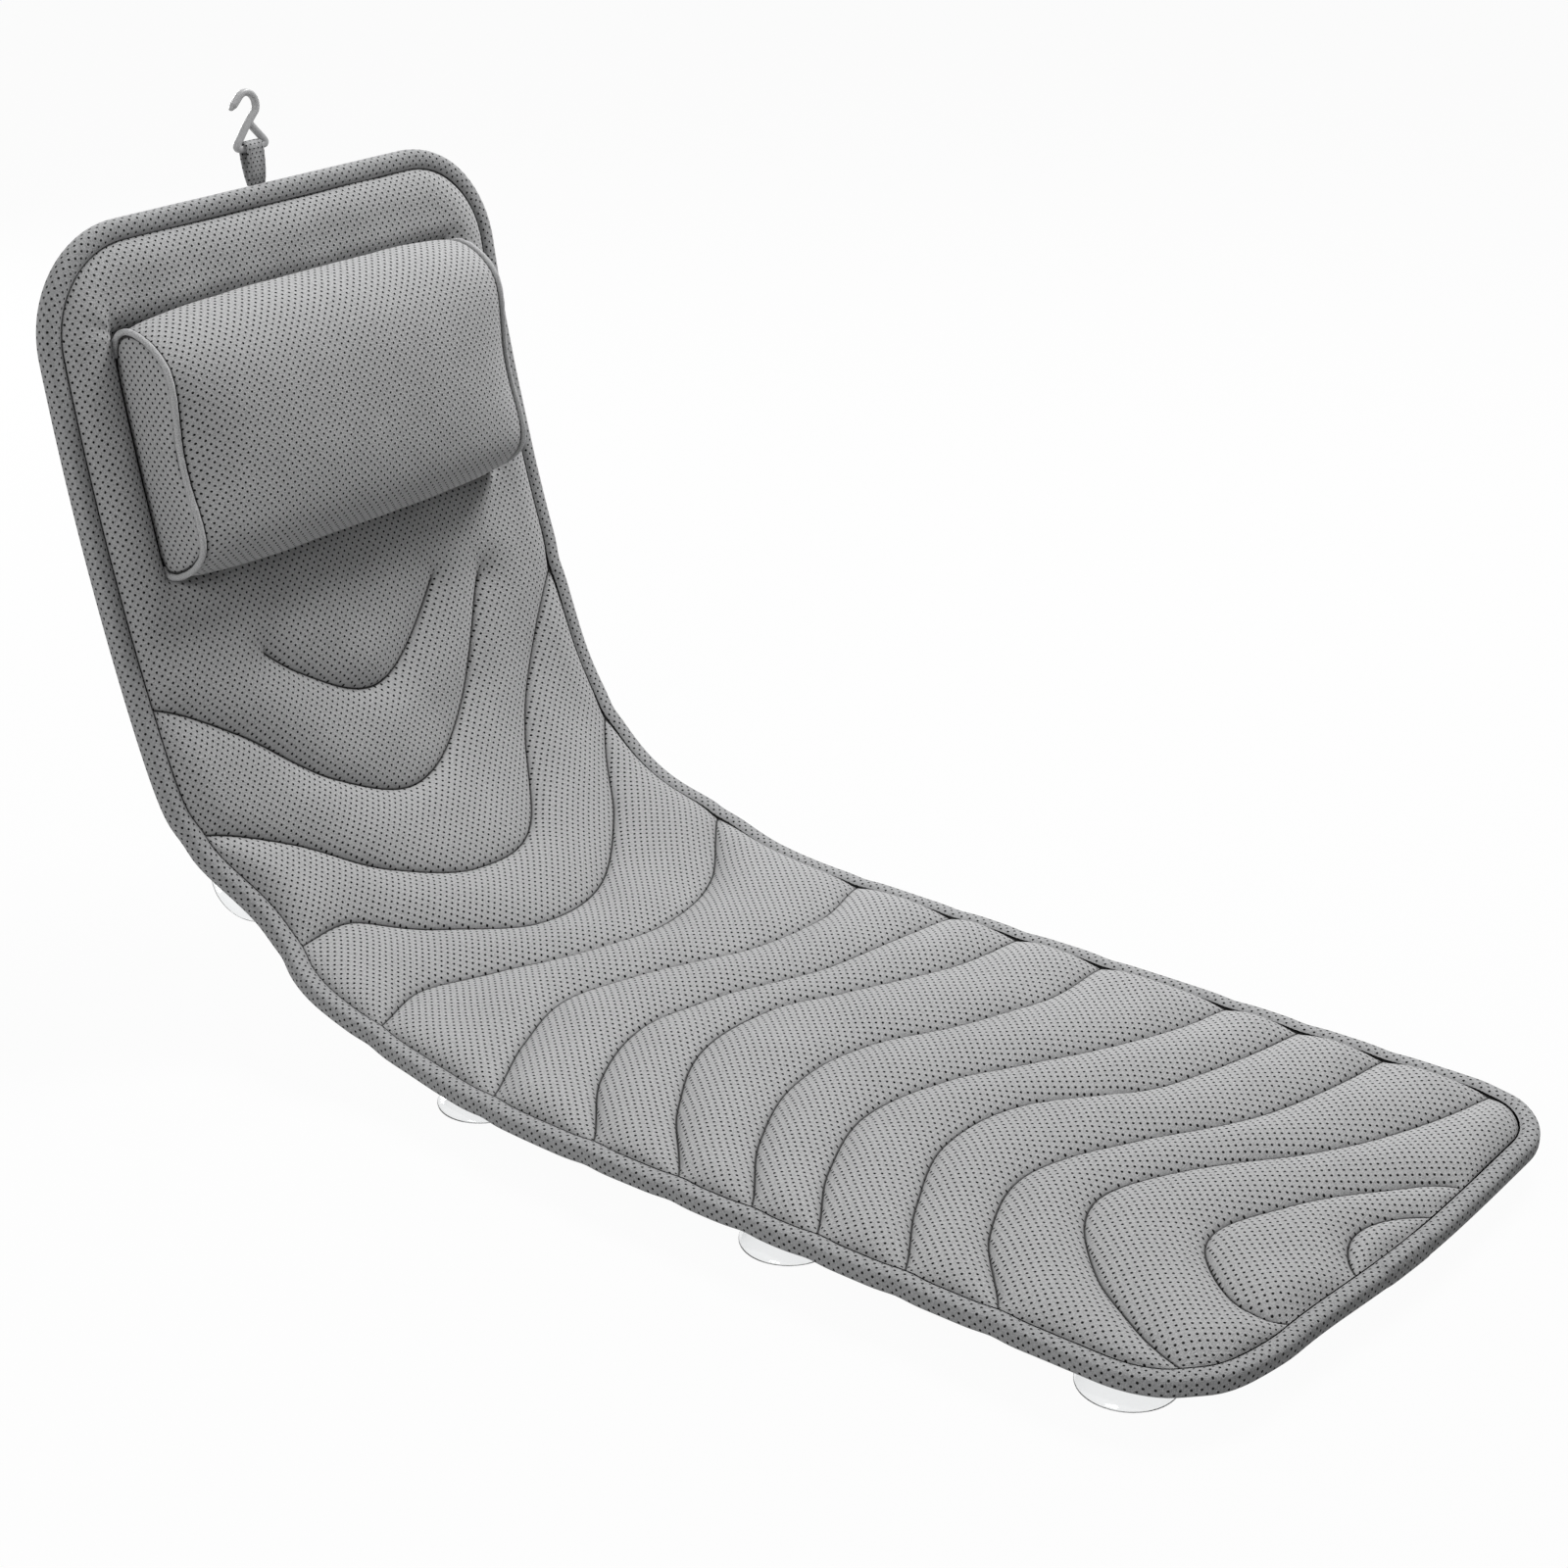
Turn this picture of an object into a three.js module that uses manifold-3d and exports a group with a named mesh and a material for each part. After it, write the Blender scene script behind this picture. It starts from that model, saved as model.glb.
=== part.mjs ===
// Full-length bath pillow: a quilted air-mesh mat that lies along a tub and up its end wall, with a
// contoured head pillow, suction cups underneath and a hanging hook at the head edge.
// Millimetres, +Z up, foot end towards -Y, backrest at +Y, the mat's width along X.
import * as THREE from 'three';
import Module from 'manifold-3d';

const rad = THREE.MathUtils.degToRad;

// Mat: overall size, rounded corners and the way it bends when it lies in a tub
const MAT_WIDTH = 400;
const MAT_LENGTH = 1205; // measured along the bend, foot edge to head edge
const FOOT_CORNER = 70; // radius at the outer edge
const HEAD_CORNER = 74;
const SEAT_FLAT = 600; // flat run from the foot edge
const BEND_LENGTH = 245; // lumbar bend that follows the flat run
const BEND_TURN = rad(70);
const BACK_TURN = rad(14); // slow curve of the backrest
const FACET_RISE = 0.12; // most that a straight facet may stand off the true bend
const GAP = 0.3; // clearance wherever sewn or seated pieces meet

// Layers, from the underside up: rear cover, spacer core, quilted face
const REAR_THICK = 1.6;
const CORE_THICK = 4;
const SEAM_THICK = 3; // quilted face where it is stitched down
const CROWN_RISE = 8.8; // puff of a channel above its seams
const CROWN_SLACK = 0.2;
const PUFF_REACH = 24; // distance from a seam to the full crown
const STACK = REAR_THICK + GAP + CORE_THICK + GAP + SEAM_THICK;

// Heights n are measured square to the mat from the middle of the stack
const N_REAR = -STACK / 2;
const N_CORE = N_REAR + REAR_THICK + GAP;
const N_FACE = N_CORE + CORE_THICK + GAP;
const N_SEAM = N_FACE + SEAM_THICK;
const N_CROWN = N_SEAM + CROWN_RISE;

// Padded binding that wraps the raw edges of the three layers
const BIND_WIDTH = 13;
const BIND_THICK = 13;
const BIND_REACH = BIND_WIDTH / 2; // how far the layers go into its slot

// The lumbar bend flexes along three lines, each taking a third of the turn
const HINGES = 3;
const HINGE_N = 9; // the face fabric hardly stretches, so the lines lie near the top
const HINGE_GAP = 0.3;
const FOLD_UP = rad(20); // further closing at each line when the mat is folded away
const FLATTEN = BEND_TURN / HINGES; // opening at each line until the mat lies flat

// Suction cups with mushroom heads that button through the rear cover
const CUP_RADIUS = 29;
const CUP_HEIGHT = 20; // rear cover to the rim
const CUP_WALL = 1.8;
const NECK_RADIUS = 4.5;
const HEAD_RADIUS = 7.5;
const HEAD_THICK = 3.2;
const CUP_INSET = 37; // cup centre to the mat's edge, under the legs
const HIP_CUP_INSET = 46;
const BACK_CUP_INSET = 58; // further in up the back
const CUP_SIDES = 16;
const PATCH_RADIUS = 13; // sewn ring that keeps the buttonhole from tearing
const PATCH_THICK = 1.2;

// Head pillow, sewn on to the backrest
const PILLOW_WIDTH = 302;
const PILLOW_FOOT = 978; // its lower edge along the mat
const PILLOW_CROWN = 0.2; // extra puff at mid width
const COVER_THICK = 1.6;
const LOFT_ROOM = 10; // loose room between the filling's pad and the cover
const PIPING_RADIUS = 2.5;
const PILLOW_OUTLINE = [
  [0, 0], [1.5, 10.5], [6, 22], [13.5, 31.5], [24, 36.5], [40, 37], [60, 34.8],
  [82, 34.6], [103, 37.5], [122, 40], [137, 38.5], [149, 31], [158, 18], [162.5, 0],
];

// Hanging loop of folded tape and the moulded hook on it
const TAPE_THICK = 2;
const TAPE_WIDTH = 14.5;
const TAB_LENGTH = 16;
const LOOP_RISE = 23; // loop root to the hook's bar
const HOOK_STRAND = 4.4;
const HOOK_DEPTH = 5;
const HOOK_CHAMFER = 1.2;
const EYE_WIDTH = 20.5; // inside the triangular eye, at the bar
const EYE_HEIGHT = 11.5;
const THROAT_RADIUS = 5.8; // inside the open hook
const TIP_LENGTH = 11; // straight tip that follows the hook's bow

const SEAT_Z = CUP_HEIGHT - N_REAR; // middle of the stack above the tub floor
const RUNS = [
  { length: SEAT_FLAT, turn: 0 },
  { length: BEND_LENGTH, turn: BEND_TURN },
  { length: MAT_LENGTH - SEAT_FLAT - BEND_LENGTH, turn: BACK_TURN },
];
const HINGE_S = Array.from({ length: HINGES }, (_, i) => SEAT_FLAT + (BEND_LENGTH * (i + 0.5)) / HINGES);
const SECTIONS = ['seat', 'lumbar_lower', 'lumbar_upper', 'backrest'];

const wasm = await Module();
wasm.setup();

// Middle line of the mat at the distance s from the foot edge: place and slope
function along(s) {
  let y = 0;
  let z = SEAT_Z;
  let slope = 0;
  let left = s;
  for (const run of RUNS) {
    const d = run === RUNS.at(-1) ? left : Math.min(left, run.length);
    const end = slope + (run.turn * d) / run.length;
    if (run.turn === 0) {
      y += d * Math.cos(slope);
      z += d * Math.sin(slope);
    } else {
      const radius = run.length / run.turn;
      y += radius * (Math.sin(end) - Math.sin(slope));
      z += radius * (Math.cos(slope) - Math.cos(end));
    }
    slope = end;
    left -= d;
    if (left <= 0) break;
  }
  return { y, z, slope };
}

// Mat coordinates to space: x across, s along the mat, n square to it
function place(x, s, n) {
  const { y, z, slope } = along(s);
  return new THREE.Vector3(x, y - n * Math.sin(slope), z + n * Math.cos(slope));
}

// Rows that every layer shares, so that their facets stay parallel around the bend
function stations(from, to) {
  const rows = [from];
  let start = 0;
  for (const run of RUNS) {
    const facets = Math.max(1, Math.ceil(Math.sqrt((run.length * run.turn) / (8 * FACET_RISE))));
    for (let i = 1; i <= facets; i++) {
      const s = start + (run.length * i) / facets;
      if (s > from + 1 && s < to - 1) rows.push(s);
    }
    start += run.length;
  }
  rows.push(to);
  return rows;
}

function geometryOf(points, faces) {
  const g = new THREE.BufferGeometry();
  const xyz = points.flatMap((p) => [p.x, p.y, p.z]);
  g.setAttribute('position', new THREE.Float32BufferAttribute(xyz, 3));
  g.setIndex(faces);
  return g;
}

// Welds equal corners so that the solid can be joined and cut
function solid(geometry) {
  const at = geometry.getAttribute('position');
  const index = geometry.index ? [...geometry.index.array] : [...Array(at.count).keys()];
  const known = new Map();
  const verts = [];
  const weld = index.map((i) => {
    const p = [at.getX(i), at.getY(i), at.getZ(i)];
    const key = p.map((v) => Math.round(v * 1e4)).join(',');
    if (!known.has(key)) {
      known.set(key, verts.length / 3);
      verts.push(...p);
    }
    return known.get(key);
  });
  const tris = [];
  for (let i = 0; i < weld.length; i += 3) {
    const [a, b, c] = weld.slice(i, i + 3);
    if (a !== b && b !== c && c !== a) tris.push(a, b, c);
  }
  const vertProperties = new Float32Array(verts);
  const triVerts = new Uint32Array(tris);
  return new wasm.Manifold(new wasm.Mesh({ numProp: 3, vertProperties, triVerts }));
}

function geometryFrom(body) {
  const mesh = body.getMesh();
  const g = new THREE.BufferGeometry();
  g.setAttribute('position', new THREE.Float32BufferAttribute(mesh.vertProperties, 3));
  g.setIndex([...mesh.triVerts]);
  return g;
}

// Closed solid from a ring of corners carried along a path; the path is closed or capped
function sweep(rings, closed) {
  const size = rings[0].length;
  const points = rings.flat();
  const faces = [];
  const count = closed ? rings.length : rings.length - 1;
  for (let r = 0; r < count; r++) {
    const a = r * size;
    const b = ((r + 1) % rings.length) * size;
    for (let i = 0; i < size; i++) {
      const j = (i + 1) % size;
      faces.push(a + i, b + i, b + j, a + i, b + j, a + j);
    }
  }
  if (!closed) {
    const last = (rings.length - 1) * size;
    for (let i = 1; i < size - 1; i++) {
      faces.push(0, i, i + 1);
      faces.push(last, last + i + 1, last + i);
    }
  }
  return geometryOf(points, faces);
}

// Prism across the mat from an outline in the side view
function prism(outline, x0, x1) {
  const shape = new THREE.Shape(outline.map(([y, z]) => new THREE.Vector2(y, z)));
  const g = new THREE.ExtrudeGeometry(shape, { depth: x1 - x0, bevelEnabled: false });
  const turn = new THREE.Matrix4().makeBasis(
    new THREE.Vector3(0, 1, 0), new THREE.Vector3(0, 0, 1), new THREE.Vector3(1, 0, 0));
  return g.applyMatrix4(turn).translate(x0, 0, 0);
}

// Outline of the mat, drawn in by the inset: half width at the distance s
function halfWidth(s, inset) {
  const foot = FOOT_CORNER - inset;
  const head = HEAD_CORNER - inset;
  const a = Math.min(Math.max(foot - (s - inset), 0), foot);
  const b = Math.min(Math.max(head - (MAT_LENGTH - inset - s), 0), head);
  const cut = foot - Math.sqrt(foot * foot - a * a) + head - Math.sqrt(head * head - b * b);
  return MAT_WIDTH / 2 - inset - cut;
}

// Distance inside that outline, negative outside it
function depthInside(x, s, inset) {
  const nearFoot = s < MAT_LENGTH / 2;
  const radius = (nearFoot ? FOOT_CORNER : HEAD_CORNER) - inset;
  const across = MAT_WIDTH / 2 - inset - Math.abs(x);
  const end = (nearFoot ? s : MAT_LENGTH - s) - inset;
  if (across >= radius || end >= radius) return Math.min(across, end);
  return radius - Math.hypot(radius - across, radius - end);
}

// Closed path around the mat, with the outward direction at each point
function edgePath(inset) {
  const path = [];
  const half = MAT_WIDTH / 2 - inset;
  const foot = FOOT_CORNER - inset;
  const head = HEAD_CORNER - inset;
  const corner = (cx, cs, radius, from) => {
    for (let i = 0; i <= 5; i++) {
      const a = rad(from + 18 * i);
      const dir = [Math.cos(a), Math.sin(a)];
      path.push({ x: cx + radius * dir[0], s: cs + radius * dir[1], dir });
    }
  };
  const sides = stations(inset + foot, MAT_LENGTH - inset - head).slice(1, -1);
  corner(half - foot, inset + foot, foot, -90);
  for (const s of sides) path.push({ x: half, s, dir: [1, 0] });
  corner(half - head, MAT_LENGTH - inset - head, head, 0);
  corner(head - half, MAT_LENGTH - inset - head, head, 90);
  for (const s of sides.toReversed()) path.push({ x: -half, s, dir: [-1, 0] });
  corner(foot - half, inset + foot, foot, 180);
  return path;
}

function sweepEdge(profile) {
  const rings = edgePath(BIND_WIDTH / 2).map(({ x, s, dir }) =>
    profile.map(([out, n]) => place(x + out * dir[0], s + out * dir[1], n)));
  return sweep(rings, true);
}

// Sheet with the mat's outline between two heights
function sheet(inset, low, high) {
  const foot = FOOT_CORNER - inset;
  const head = HEAD_CORNER - inset;
  const rows = [];
  for (let i = 0; i < 5; i++) rows.push(inset + foot * (1 - Math.cos(rad(18 * i))));
  rows.push(...stations(inset + foot, MAT_LENGTH - inset - head));
  for (let i = 1; i <= 5; i++) rows.push(MAT_LENGTH - inset - head * (1 - Math.sin(rad(18 * i))));
  const rings = rows.map((s) => {
    const w = halfWidth(s, inset);
    return [place(-w, s, low), place(w, s, low), place(w, s, high), place(-w, s, high)];
  });
  return sweep(rings, false);
}

// One flexing section of the mat: everything between two hinge lines, with relief for their travel
function sectionBlock(i) {
  const low = N_REAR - BIND_THICK;
  const high = N_CROWN + CROWN_SLACK;
  const reach = 2 * BIND_WIDTH;
  const first = i === 0;
  const last = i === HINGES;
  const hingeEnd = (k, side, n) => {
    const { y, z, slope } = along(HINGE_S[k]);
    const spread = Math.tan((n > HINGE_N ? FOLD_UP : FLATTEN) / 2);
    const back = side * (HINGE_GAP + Math.abs(n - HINGE_N) * spread);
    return [
      y - n * Math.sin(slope) + back * Math.cos(slope),
      z + n * Math.cos(slope) + back * Math.sin(slope),
    ];
  };
  const point = (s, n) => {
    const p = place(0, s, n);
    return [p.y, p.z];
  };
  const from = first ? -reach : HINGE_S[i - 1];
  const to = last ? MAT_LENGTH + reach : HINGE_S[i];
  const inner = stations(from, to).slice(1, -1).filter((s) => s > from + 6 && s < to - 6);
  const start = first ? [point(from, high), point(from, low)]
    : [high, HINGE_N, low].map((n) => hingeEnd(i - 1, 1, n));
  const end = last ? [point(to, low), point(to, high)]
    : [low, HINGE_N, high].map((n) => hingeEnd(i, -1, n));
  const under = inner.map((s) => point(s, low));
  const over = inner.toReversed().map((s) => point(s, high));
  return solid(prism([...start, ...under, ...end, ...over], -MAT_WIDTH, MAT_WIDTH));
}

// Quilting seams, foot to head: distance from the foot edge at seven stations across the mat.
// Those that fall below zero run off the foot edge.
const SEAMS = [
  [-80, -40, 6, 37, 1, -38, -70],
  [-100, -8, 97, 82, 34, -15, -50],
  [2, 124, 172, 147, 96, 63, 46],
  [155, 201, 220, 194, 152, 129, 118],
  [217, 251, 276, 266, 215, 190, 177],
  [277, 313, 333, 317, 279, 245, 229],
  [323, 364, 389, 384, 350, 326, 323],
  [376, 426, 460, 460, 429, 399, 389],
  [441, 487, 509, 496, 468, 454, 443],
  [525, 554, 572, 552, 522, 511, 523],
  [632, 647, 631, 604, 591, 608, 656],
  [721, 720, 686, 652, 656, 703, 779],
  [818, 787, 744, 715, 727, 820, 897],
  [906, 869, 815, 789, 828, 930, 1000],
  [985, 950, 891, 864, 911, 995, 1055],
];
// The last two seams stop inside the mat, at these fractions of its half width
const SEAM_ENDS = new Map([[13, [-2, 0.55]], [14, [-0.42, 0.34]]]);
const SEAM_STEP = 4; // least room between neighbouring seams
const SEAM_FADE = 0.1;

// Smooth curve through evenly spaced values, u from -1 to 1
function curveAt(values, u) {
  const t = ((u + 1) / 2) * (values.length - 1);
  const i = Math.min(Math.floor(t), values.length - 2);
  const f = t - i;
  const at = (j) => values[Math.min(Math.max(j, 0), values.length - 1)];
  const [a, b, c, d] = [at(i - 1), at(i), at(i + 1), at(i + 2)];
  return b + 0.5 * f * (c - a + f * (2 * a - 5 * b + 4 * c - d + f * (3 * (b - c) + d - a)));
}

// Rounded rise of padding away from a stitched line
function puff(distance) {
  const q = Math.min(Math.max(distance / PUFF_REACH, 0), 1);
  return Math.sqrt(q * (2 - q));
}

function seamHold(i, u) {
  const [from, to] = SEAM_ENDS.get(i) ?? [-2, 2];
  return THREE.MathUtils.smoothstep(u, from - SEAM_FADE, from)
    * (1 - THREE.MathUtils.smoothstep(u, to, to + SEAM_FADE));
}

// Quilted face: rows follow the seams, heights puff up between them
function quiltedFace() {
  const columns = 18;
  const share = (k, count) => (k < count ? [0, 0.18, 0.5, 0.82] : [0, 0.08, 0.2, 0.5, 0.8, 0.92, 1]);
  const grid = [];
  for (let c = 0; c <= columns; c++) {
    const v = (2 * c) / columns - 1;
    const u = v * (1.25 - 0.25 * v * v);
    const lines = [BIND_REACH];
    for (const seam of SEAMS) lines.push(Math.max(curveAt(seam, u), lines.at(-1) + SEAM_STEP));
    lines.push(MAT_LENGTH - BIND_REACH);
    const column = [];
    for (let k = 0; k < lines.length - 1; k++) {
      for (const t of share(k, lines.length - 2)) {
        const s = lines[k] + (lines[k + 1] - lines[k]) * t;
        const x = u * halfWidth(s, BIND_REACH);
        let lift = puff(depthInside(x, s, BIND_WIDTH));
        SEAMS.forEach((_, i) => {
          lift *= 1 - seamHold(i, u) * (1 - puff(Math.abs(s - lines[i + 1])));
        });
        column.push({ x, s, n: N_SEAM + CROWN_RISE * lift });
      }
    }
    grid.push(column);
  }
  const low = N_REAR;
  const rings = grid[0].map((_, r) => {
    const row = grid.map((column) => column[r]).reverse();
    const edge = [row.at(-1), row[0]];
    return [...row.map((p) => place(p.x, p.s, p.n)), ...edge.map((p) => place(p.x, p.s, low))];
  });
  const lip = [
    [-BIND_WIDTH / 2 - GAP, N_SEAM], [BIND_WIDTH, N_SEAM],
    [BIND_WIDTH, 2 * N_CROWN], [-BIND_WIDTH / 2 - GAP, 2 * N_CROWN],
  ];
  const under = solid(sheet(BIND_REACH - 2 * GAP, N_REAR - BIND_THICK, N_FACE));
  return solid(sweep(rings, false)).subtract(under).subtract(solid(sweepEdge(lip)));
}

// Padded C-section of the binding, closed around the edges of the layers
function bindingRing() {
  const w = BIND_WIDTH / 2;
  const h = BIND_THICK / 2;
  const slot = STACK / 2 + GAP;
  const upper = [
    [-w, slot], [-0.9 * w, 0.89 * h], [-0.4 * w, h], [0.3 * w, 0.94 * h], [0.75 * w, 0.66 * h],
  ];
  const lower = upper.toReversed().map(([o, n]) => [o, -n]);
  const slotEnd = [[3 * GAP, -slot], [3 * GAP, slot]];
  return solid(sweepEdge([...upper, [w, 0], ...lower, ...slotEnd].reverse()));
}

// Rows of cups: from the foot edge, and from the side edges
const cupRows = {
  foot: [88, CUP_INSET],
  thigh: [316, CUP_INSET],
  hip: [SEAT_FLAT - 38, HIP_CUP_INSET],
  lumbar: [HINGE_S[2] - 24, BACK_CUP_INSET],
  back: [945, BACK_CUP_INSET],
  head: [MAT_LENGTH - 70, BACK_CUP_INSET],
};

// Turns a lathe's axis on to the mat's normal at a cup
function standAt(geometry, x, s, n) {
  const { slope } = along(s);
  const origin = place(x, s, n);
  const turn = new THREE.Matrix4().makeRotationX(slope + Math.PI / 2);
  return geometry.applyMatrix4(turn).translate(origin.x, origin.y, origin.z);
}

function lathe(profile, sides) {
  return new THREE.LatheGeometry(profile.map(([r, h]) => new THREE.Vector2(r, h)), sides);
}

// Button head, neck and flared bell of one cup; heights from the rear cover's underside
function cupGeometry() {
  const shoulder = -(PATCH_THICK + 2 * GAP);
  const seat = REAR_THICK + GAP;
  const rim = -CUP_HEIGHT;
  const bell = [
    [9, shoulder], [11.5, shoulder - 4.5], [20, shoulder - 10], [CUP_RADIUS, rim + 1.2],
  ];
  const inside = [
    [CUP_RADIUS - CUP_WALL, rim], [20, shoulder - 10 - CUP_WALL], [9, shoulder - 7], [0, shoulder - 6],
  ];
  return lathe([
    [0, seat + HEAD_THICK], [HEAD_RADIUS, seat + HEAD_THICK], [HEAD_RADIUS, seat],
    [NECK_RADIUS, seat], [NECK_RADIUS, shoulder],
    ...bell, [CUP_RADIUS, rim], ...inside,
  ].reverse(), CUP_SIDES);
}

function patchGeometry() {
  const hole = NECK_RADIUS + GAP;
  const top = -GAP;
  const low = top - PATCH_THICK;
  return lathe([
    [hole, low], [PATCH_RADIUS, low], [PATCH_RADIUS, top], [hole, top], [hole, low],
  ], CUP_SIDES);
}

// Straight plug used to cut a round hole through a layer at a cup
function plug(radius, x, s) {
  const g = new THREE.CylinderGeometry(radius, radius, 6 * STACK, CUP_SIDES);
  return solid(standAt(g, x, s, 0));
}

const PALETTE = {
  quilt: { color: 0x8f9092, roughness: 0.92, metalness: 0 },
  core: { color: 0xc9cacb, roughness: 0.95, metalness: 0 },
  rear: { color: 0x77787a, roughness: 0.95, metalness: 0 },
  binding: { color: 0x87888a, roughness: 0.92, metalness: 0 },
  pillow: { color: 0x98999b, roughness: 0.92, metalness: 0 },
  tape: { color: 0x808183, roughness: 0.92, metalness: 0 },
  hook: { color: 0xa3a4a6, roughness: 0.38, metalness: 0 },
  cup: { color: 0xe6eaec, roughness: 0.18, metalness: 0 },
};

const group = new THREE.Group();
group.name = 'bath_pillow';

function add(name, geometry, look) {
  const mesh = new THREE.Mesh(geometry, new THREE.MeshStandardMaterial(PALETTE[look]));
  mesh.name = name;
  mesh.geometry.computeVertexNormals();
  group.add(mesh);
}

// Layers and binding, cut into the sections that the hinge lines leave
let core = solid(sheet(BIND_REACH, N_CORE, N_CORE + CORE_THICK));
let rear = solid(sheet(BIND_REACH, N_REAR, N_REAR + REAR_THICK));
for (const [s, inset] of Object.values(cupRows)) {
  for (const x of [inset - MAT_WIDTH / 2, MAT_WIDTH / 2 - inset]) {
    core = core.subtract(plug(HEAD_RADIUS + 2 * GAP, x, s));
    rear = rear.subtract(plug(NECK_RADIUS + GAP, x, s));
  }
}
const face = quiltedFace();
const ring = bindingRing();
const sideBlock = (x0, x1) => solid(new THREE.BoxGeometry(x1 - x0, 4 * MAT_LENGTH, 4 * MAT_LENGTH)
  .translate((x0 + x1) / 2, 0, 0));
const leftHalf = sideBlock(-MAT_WIDTH, 0);
const rightHalf = sideBlock(0, MAT_WIDTH);
SECTIONS.forEach((name, i) => {
  const block = sectionBlock(i);
  add(`${name}_quilt`, geometryFrom(face.intersect(block)), 'quilt');
  add(`${name}_core`, geometryFrom(core.intersect(block)), 'core');
  add(`${name}_rear_cover`, geometryFrom(rear.intersect(block)), 'rear');
  const edge = ring.intersect(block);
  if (i === 0 || i === HINGES) {
    add(`${name}_binding`, geometryFrom(edge), 'binding');
  } else {
    add(`${name}_binding_left`, geometryFrom(edge.intersect(leftHalf)), 'binding');
    add(`${name}_binding_right`, geometryFrom(edge.intersect(rightHalf)), 'binding');
  }
});

// Suction cups and their sewn rings
for (const [row, [s, inset]] of Object.entries(cupRows)) {
  for (const [side, sign] of [['left', -1], ['right', 1]]) {
    const x = sign * (MAT_WIDTH / 2 - inset);
    add(`cup_${row}_${side}`, standAt(cupGeometry(), x, s, N_REAR), 'cup');
    add(`cup_ring_${row}_${side}`, standAt(patchGeometry(), x, s, N_REAR), 'tape');
  }
}

// Head pillow: its side-view outline drawn in by a distance
const PILLOW_N = N_CROWN + CROWN_SLACK + GAP;
const PILLOW_HALF = PILLOW_WIDTH / 2 - 2 * PIPING_RADIUS + 2 * GAP;
function drawnIn(distance) {
  const at = (i) => PILLOW_OUTLINE[Math.min(Math.max(i, 0), PILLOW_OUTLINE.length - 1)];
  return PILLOW_OUTLINE.map(([s, t], i) => {
    const [a, b] = [at(i - 1), at(i + 1)];
    const run = Math.hypot(b[0] - a[0], b[1] - a[1]);
    return [s + (distance * (b[1] - a[1])) / run, t - (distance * (b[0] - a[0])) / run];
  });
}
const pillowPoint = (x, s, t) => {
  const crown = 1 + PILLOW_CROWN * (1 - (x / (PILLOW_WIDTH / 2)) ** 2);
  return place(x, PILLOW_FOOT + s, PILLOW_N + t * crown);
};
const pillowColumns = (half) => Array.from({ length: 9 }, (_, i) => half * Math.sin(rad(22.5 * (i - 4))));

// Base line of the pillow, following the backrest from the head side to the foot side
function baseLine(inset, t) {
  const end = PILLOW_OUTLINE.at(-1)[0];
  const rows = stations(PILLOW_FOOT + inset, PILLOW_FOOT + end - inset);
  return rows.map((s) => [s - PILLOW_FOOT, t]).toReversed();
}

// Solid between two x positions with one side-view outline, as a gusset or as the filling
function pillowSlice(outline, columns) {
  const rings = columns.map((x) => outline.map(([s, t]) => pillowPoint(x, s, t)));
  const faces = [];
  const flat = THREE.ShapeUtils.triangulateShape(outline.map(([s, t]) => new THREE.Vector2(s, t)), []);
  const last = (rings.length - 1) * outline.length;
  const g = sweep(rings, true);
  const body = [...g.index.array].slice(0, 6 * outline.length * (rings.length - 1));
  for (const [a, b, c] of flat) faces.push(c, b, a, last + a, last + b, last + c);
  return geometryOf(rings.flat(), [...body, ...faces]);
}

const lining = COVER_THICK + 2 * GAP;
const backTop = COVER_THICK;
const raised = (outline, base) => outline.map(([s, t]) => [s, Math.max(t, base)]);
// The front panel is a shell that closes on to the backrest along its two long edges
add('pillow_front', pillowSlice([
  ...PILLOW_OUTLINE, ...raised(drawnIn(COVER_THICK), 0).toReversed(),
], pillowColumns(PILLOW_HALF - 2 * GAP)), 'pillow');
add('pillow_back', pillowSlice([
  ...baseLine(lining, backTop).toReversed(), ...baseLine(lining, 0),
], pillowColumns(PILLOW_HALF - 2 * GAP)), 'rear');
add('pillow_filling', pillowSlice([
  ...raised(drawnIn(LOFT_ROOM), backTop + GAP), ...baseLine(2 * LOFT_ROOM, backTop + GAP),
], pillowColumns(PILLOW_HALF - LOFT_ROOM)), 'core');
for (const [side, sign] of [['left', -1], ['right', 1]]) {
  const gusset = raised(drawnIn(1.5 * PIPING_RADIUS + 2 * GAP), GAP);
  const x0 = PILLOW_HALF;
  const x1 = PILLOW_HALF + COVER_THICK;
  add(`pillow_end_${side}`, pillowSlice([...gusset, ...baseLine(4 * lining, GAP)],
    sign > 0 ? [x0, x1] : [-x1, -x0]), 'pillow');
  const path = raised(drawnIn(PIPING_RADIUS / 2), GAP);
  const x = sign * (PILLOW_HALF + PIPING_RADIUS);
  const rings = path.map(([s, t], i) => {
    const a = path[Math.max(i - 1, 0)];
    const b = path[Math.min(i + 1, path.length - 1)];
    const run = Math.hypot(b[0] - a[0], b[1] - a[1]);
    const dir = [(b[1] - a[1]) / run, -(b[0] - a[0]) / run];
    return Array.from({ length: 8 }, (_, k) => {
      const c = PIPING_RADIUS * Math.cos(rad(45 * k));
      const e = PIPING_RADIUS * Math.sin(rad(45 * k));
      return place(x + e, PILLOW_FOOT + s + c * dir[0], PILLOW_N + t + c * dir[1]);
    });
  });
  add(`pillow_piping_${side}`, sweep(rings, false), 'binding');
}

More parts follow.
